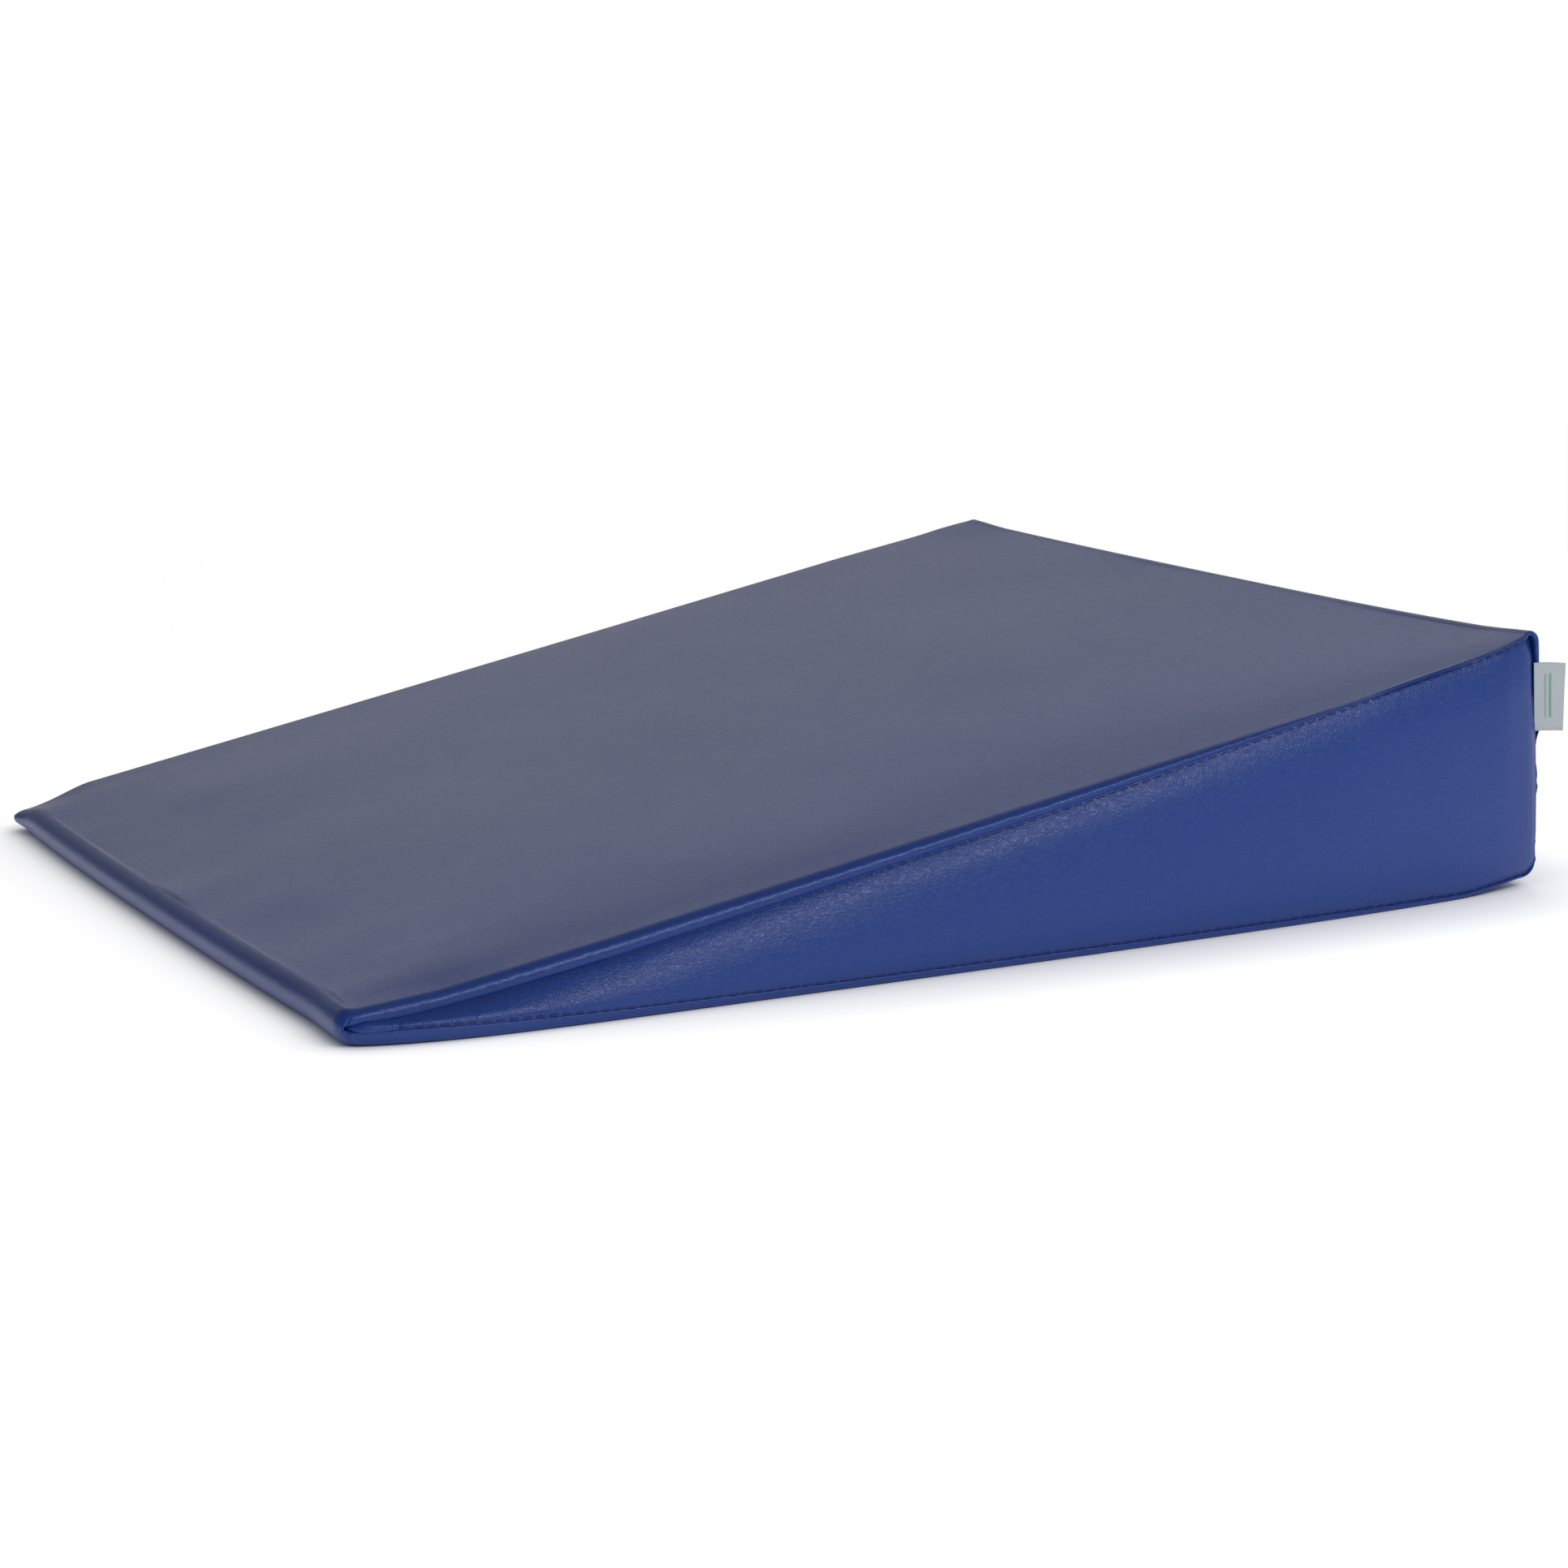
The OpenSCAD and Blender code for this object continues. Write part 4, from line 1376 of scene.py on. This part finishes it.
class WEDGE_OT_zip_pull(bpy.types.Operator):
    """Make the slider's pull"""

    bl_idname = "wedge.zip_pull"
    bl_label = "Zip pull"

    def execute(self, context):
        low, high = cad_span("zip_pull")
        pin = next(j for j in frame["joints"] if j["name"] == "pull_hinge")["pos_m"]
        x, pin_y, z = pin
        width, tip, shoulder = high[2] - low[2], low[1], pin_y - 3.2 * MM
        length, middle = shoulder - tip, (shoulder + tip) / 2
        # a thin web with a raised grip closes the slot in the tab
        web = slab(rounded_outline(length - 2.4 * MM, width - 2.2 * MM, 1.6 * MM),
                   -0.36 * MM, 0.36 * MM, 0.12 * MM)
        bar = slab(rounded_outline(0.9 * MM, width - 3.8 * MM, 0.35 * MM, 3),
                   -0.62 * MM, 0.62 * MM, 0.2 * MM)
        parts = [self.rim(x, middle, z, length, width), facing_back(web, x, middle, z, 1)]
        for k in range(5):
            parts.append(facing_back(bar, x, middle - 1.0 * MM - k * 2.3 * MM, z, 1))
        # two arms and the pin that turns in the slider's crown
        for side in (LEFT, RIGHT):
            y = np.linspace(pin_y + 0.55 * MM, pin_y - 4.6 * MM, 14)
            spread = 1.75 * MM + 0.75 * MM * smooth(0.3, 1, np.linspace(0, 1, 14))
            arm = np.stack([np.full(14, x), y, z + side * spread], axis=-1)[None]
            rise = towards(arm, x=1)
            across = unit(np.cross(unit(np.gradient(arm, axis=1)), rise))
            girth = np.full((1, 14), 0.62 * MM)
            parts.append(sweep(arm, (across, rise), girth, girth * 1.1))
        pin_z = np.linspace(z - 2.2 * MM, z + 2.2 * MM, 8)
        rod = np.stack([np.full(8, x), np.full(8, pin_y), pin_z], axis=-1)[None]
        girth = np.full((1, 8), 0.55 * MM)
        parts.append(sweep(rod, (towards(rod, x=1), towards(rod, y=1)), girth, girth))
        make_piece("pull_tab", join(*parts), bpy.data.materials["zip_nickel"], "pull",
                   ["zip_pull"], crease=40)
        return {"FINISHED"}

    def rim(self, x, y, z, length, width):
        """The tab's rim, a ring of cross-sections round its slot."""
        thick, broad, corner = 1.5 * MM, 1.6 * MM, 0.42
        turn = np.arange(96) * 2 * math.pi / 96
        wide = np.sign(np.sin(turn)) * np.abs(np.sin(turn)) ** corner
        long = np.sign(np.cos(turn)) * np.abs(np.cos(turn)) ** corner
        narrow = 1 - 0.16 * (long + 1) / 2
        rings = []
        for angle in np.arange(12) * 2 * math.pi / 12:
            inset = broad * (0.5 - 0.5 * math.cos(angle))
            rise = math.copysign(abs(math.sin(angle)) ** 0.6, math.sin(angle))
            rings.append(np.stack([x + thick / 2 * rise + 0 * turn,
                                   y + (length / 2 - inset * 1.25) * long,
                                   z + (width / 2 - inset) * wide * narrow], axis=1))
        return np.concatenate(rings), ring_faces(12, 96, joined=True)


class WEDGE_OT_tag(bpy.types.Operator):
    """Make the folded ribbon tag in the left back seam"""

    bl_idname = "wedge.tag"
    bl_label = "Side tag"

    def execute(self, context):
        low, high = cad_span("label")
        line = the_cover().line
        start, tip = line.back_x - 0.8 * MM, high[0] + 2.2 * MM
        # down one layer from the seam to the fold at the tip, and back up the other
        s = np.linspace(0, 1, 61)
        from_tip = np.abs(2 * s - 1)
        bend = np.clip((0.04 - np.abs(s - 0.5)) / 0.04, 0, 1)
        layer = np.where(s < 0.5, -1.0, 1.0) * np.sqrt(1 - bend ** 2)
        gape = 0.16 * MM + 0.40 * MM * np.sin(math.pi * (1 - from_tip)) ** 1.5
        levels = np.linspace(low[2] + 1.2 * MM, high[2] - 1.2 * MM, 33)
        x, z = np.meshgrid(tip - (tip - start) * from_tip, levels, indexing="ij")
        out = np.clip((x - line.back_x) / (tip - line.back_x), 0, 1)
        height = (z - low[2]) / (high[2] - low[2])
        curl = -1.6 * MM * out ** 2 * (0.4 + 0.9 * height)
        wave = 0.9 * MM * out * np.sin(math.pi * height)
        y = (low[1] + high[1]) / 2 + 0.25 * MM + (layer * gape)[:, None] + curl + wave
        lean = out * MM * (2.3 * (height - 0.45) ** 2 - 0.9 * (height - 0.45))
        droop = 1.1 * MM * out ** 1.3
        grid = facing(np.stack([x - lean, y, z - droop], axis=-1), (0, -1, 0), 5)
        piece = make_piece("side_tag", shell(grid, 0.12 * MM, list(range(0, 33, 4))),
                           ribbon_finish(), "cushion", ["label"])
        float(2 * (tip - start))
        return {"FINISHED"}


class WEDGE_OT_stage(bpy.types.Operator):
    """Set the floor, the lights and the camera"""

    bl_idname = "wedge.stage"
    bl_label = "Studio"

    def execute(self, context):
        scene, kit = context.scene, studio()
        self.floor(scene, kit)
        self.camera(scene, kit)
        self.lamp("key_light", (0.35, -2.1, 1.55), (0, 0, 0.05), 1.7, 0.55, kit.key_power)
        self.lamp("rim_light", (1.2, 2.6, 1.3), (0, 0, 0.1), 2.4, 0.8, kit.rim_power)
        self.sky(scene, kit)
        scene.view_settings.view_transform = "Standard"
        return {"FINISHED"}

    def floor(self, scene, kit):
        """A wide floor that curves up a few metres behind the cushion."""
        far, wall_r, columns = 4.5, 0.95, 12
        back = Vector((math.sin(kit.azimuth), -math.cos(kit.azimuth), 0))
        side = Vector((back.y, -back.x, 0))
        profile = [(d, 0.0) for d in np.linspace(-3.0, far, 24)]
        profile += [(far + wall_r * math.sin(a), wall_r * (1 - math.cos(a)))
                    for a in np.linspace(0.1, 1.25, 12)]
        points = [tuple(-back * d + side * w + Vector((0, 0, h)))
                  for d, h in profile for w in np.linspace(-5, 5, columns)]
        mesh = bpy.data.meshes.new("studio_floor")
        mesh.from_pydata(points, [], grid_faces(len(profile), columns).tolist())
        mesh.polygons.foreach_set("use_smooth", [True] * len(mesh.polygons))
        if mesh.polygons[0].normal.z < 0:
            mesh.flip_normals()
        mesh.materials.append(floor_finish())
        floor = bpy.data.objects.new("studio_floor", mesh)
        scene.collection.objects.link(floor)

    def camera(self, scene, kit):
        """The camera, looking at its aim from its distance, azimuth and elevation."""
        lift = Vector((math.sin(kit.azimuth) * math.cos(kit.elevation),
                       -math.cos(kit.azimuth) * math.cos(kit.elevation),
                       math.sin(kit.elevation)))
        across = (-lift).cross(Vector((0, 0, 1))).normalized()
        upward = across.cross(-lift)
        c, s = math.cos(kit.roll), math.sin(kit.roll)
        turn = Matrix((across * c + upward * s, upward * c - across * s, lift))
        turn = turn.transposed().to_4x4()
        turn.translation = Vector(kit.aim) + lift * kit.distance
        lens = bpy.data.cameras.new("studio_camera")
        lens.lens = kit.lens
        lens.sensor_width = 36.0
        lens.clip_end = 50.0
        camera = bpy.data.objects.new("studio_camera", lens)
        scene.collection.objects.link(camera)
        camera.matrix_world = turn
        scene.camera = camera

    def sky(self, scene, kit):
        """Even light from all round: dimmer high up, behind the camera and at the left."""
        world = bpy.data.worlds.new("studio_sky")
        scene.world = world
        f = Finish(world)
        aimed = f.node("ShaderNodeTexCoord").out("Generated")
        x, y, height = (f.part(aimed, axis) for axis in "XYZ")
        grey = f.ramp(height, [(0.0, (0.54, 0.54, 0.56, 1)), (0.40, (0.60, 0.60, 0.62, 1)),
                               (0.60, (0.30, 0.30, 0.31, 1)), (1.0, (0.20, 0.20, 0.21, 1))])
        behind = f.between(x * 0.45 + y * 0.89, -0.6, 0.6)
        grey = f.mix(behind, (0.24, 0.24, 0.25, 1), grey)
        grey = f.mix(f.between(x, -0.45, 0.10), (0.12, 0.12, 0.125, 1), grey)
        background = f.node("ShaderNodeBackground", None, {"Color": grey, "Strength": kit.sky})
        f.node("ShaderNodeOutputWorld", None, {"Surface": background.out("Background")})

    def lamp(self, name, place, aim, wide, tall, power):
        """A soft light, wide by tall, that shines from its place at its aim."""
        light = bpy.data.lights.new(name, "AREA")
        light.shape = "RECTANGLE"
        light.size, light.size_y = wide, tall
        light.energy = power
        lamp = bpy.data.objects.new(name, light)
        bpy.context.scene.collection.objects.link(lamp)
        lamp.location = place
        lamp.rotation_euler = (Vector(aim) - Vector(place)).to_track_quat("-Z", "Y").to_euler()


class WEDGE_PT_sidebar(bpy.types.Panel):
    """Lists the pieces of the wedge cushion and their sizes"""

    bl_idname = "WEDGE_PT_sidebar"
    bl_label = "Wedge cushion"
    bl_space_type = "VIEW_3D"
    bl_region_type = "UI"
    bl_category = "Wedge"

    def draw(self, context):
        for operator in OPERATORS:
            self.layout.operator(operator.bl_idname)
        for group in ("wedge_cover", "wedge_sewing", "wedge_colours", "wedge_studio"):
            box = self.layout.box()
            values = getattr(context.scene, group)
            for name in values.__annotations__:
                box.prop(values, name)


GROUPS = {
    "wedge_cover": CoverSizes,
    "wedge_sewing": SewingSizes,
    "wedge_colours": FinishColours,
    "wedge_studio": StudioSettings,
}
OPERATORS = (
    WEDGE_OT_foam,
    WEDGE_OT_wrap,
    WEDGE_OT_sides,
    WEDGE_OT_seam_stitching,
    WEDGE_OT_zip_tapes,
    WEDGE_OT_zip_teeth,
    WEDGE_OT_zip_stitching,
    WEDGE_OT_zip_slider,
    WEDGE_OT_zip_pull,
    WEDGE_OT_tag,
    WEDGE_OT_stage,
)


def register():
    for kind in (*GROUPS.values(), *OPERATORS, WEDGE_PT_sidebar):
        bpy.utils.register_class(kind)
    for name, group in GROUPS.items():
        setattr(bpy.types.Scene, name, PointerProperty(type=group))


def unregister():
    for name in GROUPS:
        delattr(bpy.types.Scene, name)
    for kind in (WEDGE_PT_sidebar, *reversed(OPERATORS), *reversed(GROUPS.values())):
        bpy.utils.unregister_class(kind)


def main():
    register()
    bpy.ops.wedge.foam()
    bpy.ops.wedge.wrap()
    bpy.ops.wedge.sides()
    bpy.ops.wedge.seam_stitching()
    bpy.ops.wedge.zip_tapes()
    bpy.ops.wedge.zip_teeth()
    bpy.ops.wedge.zip_stitching()
    bpy.ops.wedge.zip_slider()
    bpy.ops.wedge.zip_pull()
    bpy.ops.wedge.tag()
    bpy.ops.wedge.stage()


if __name__ == "__main__":
    main()
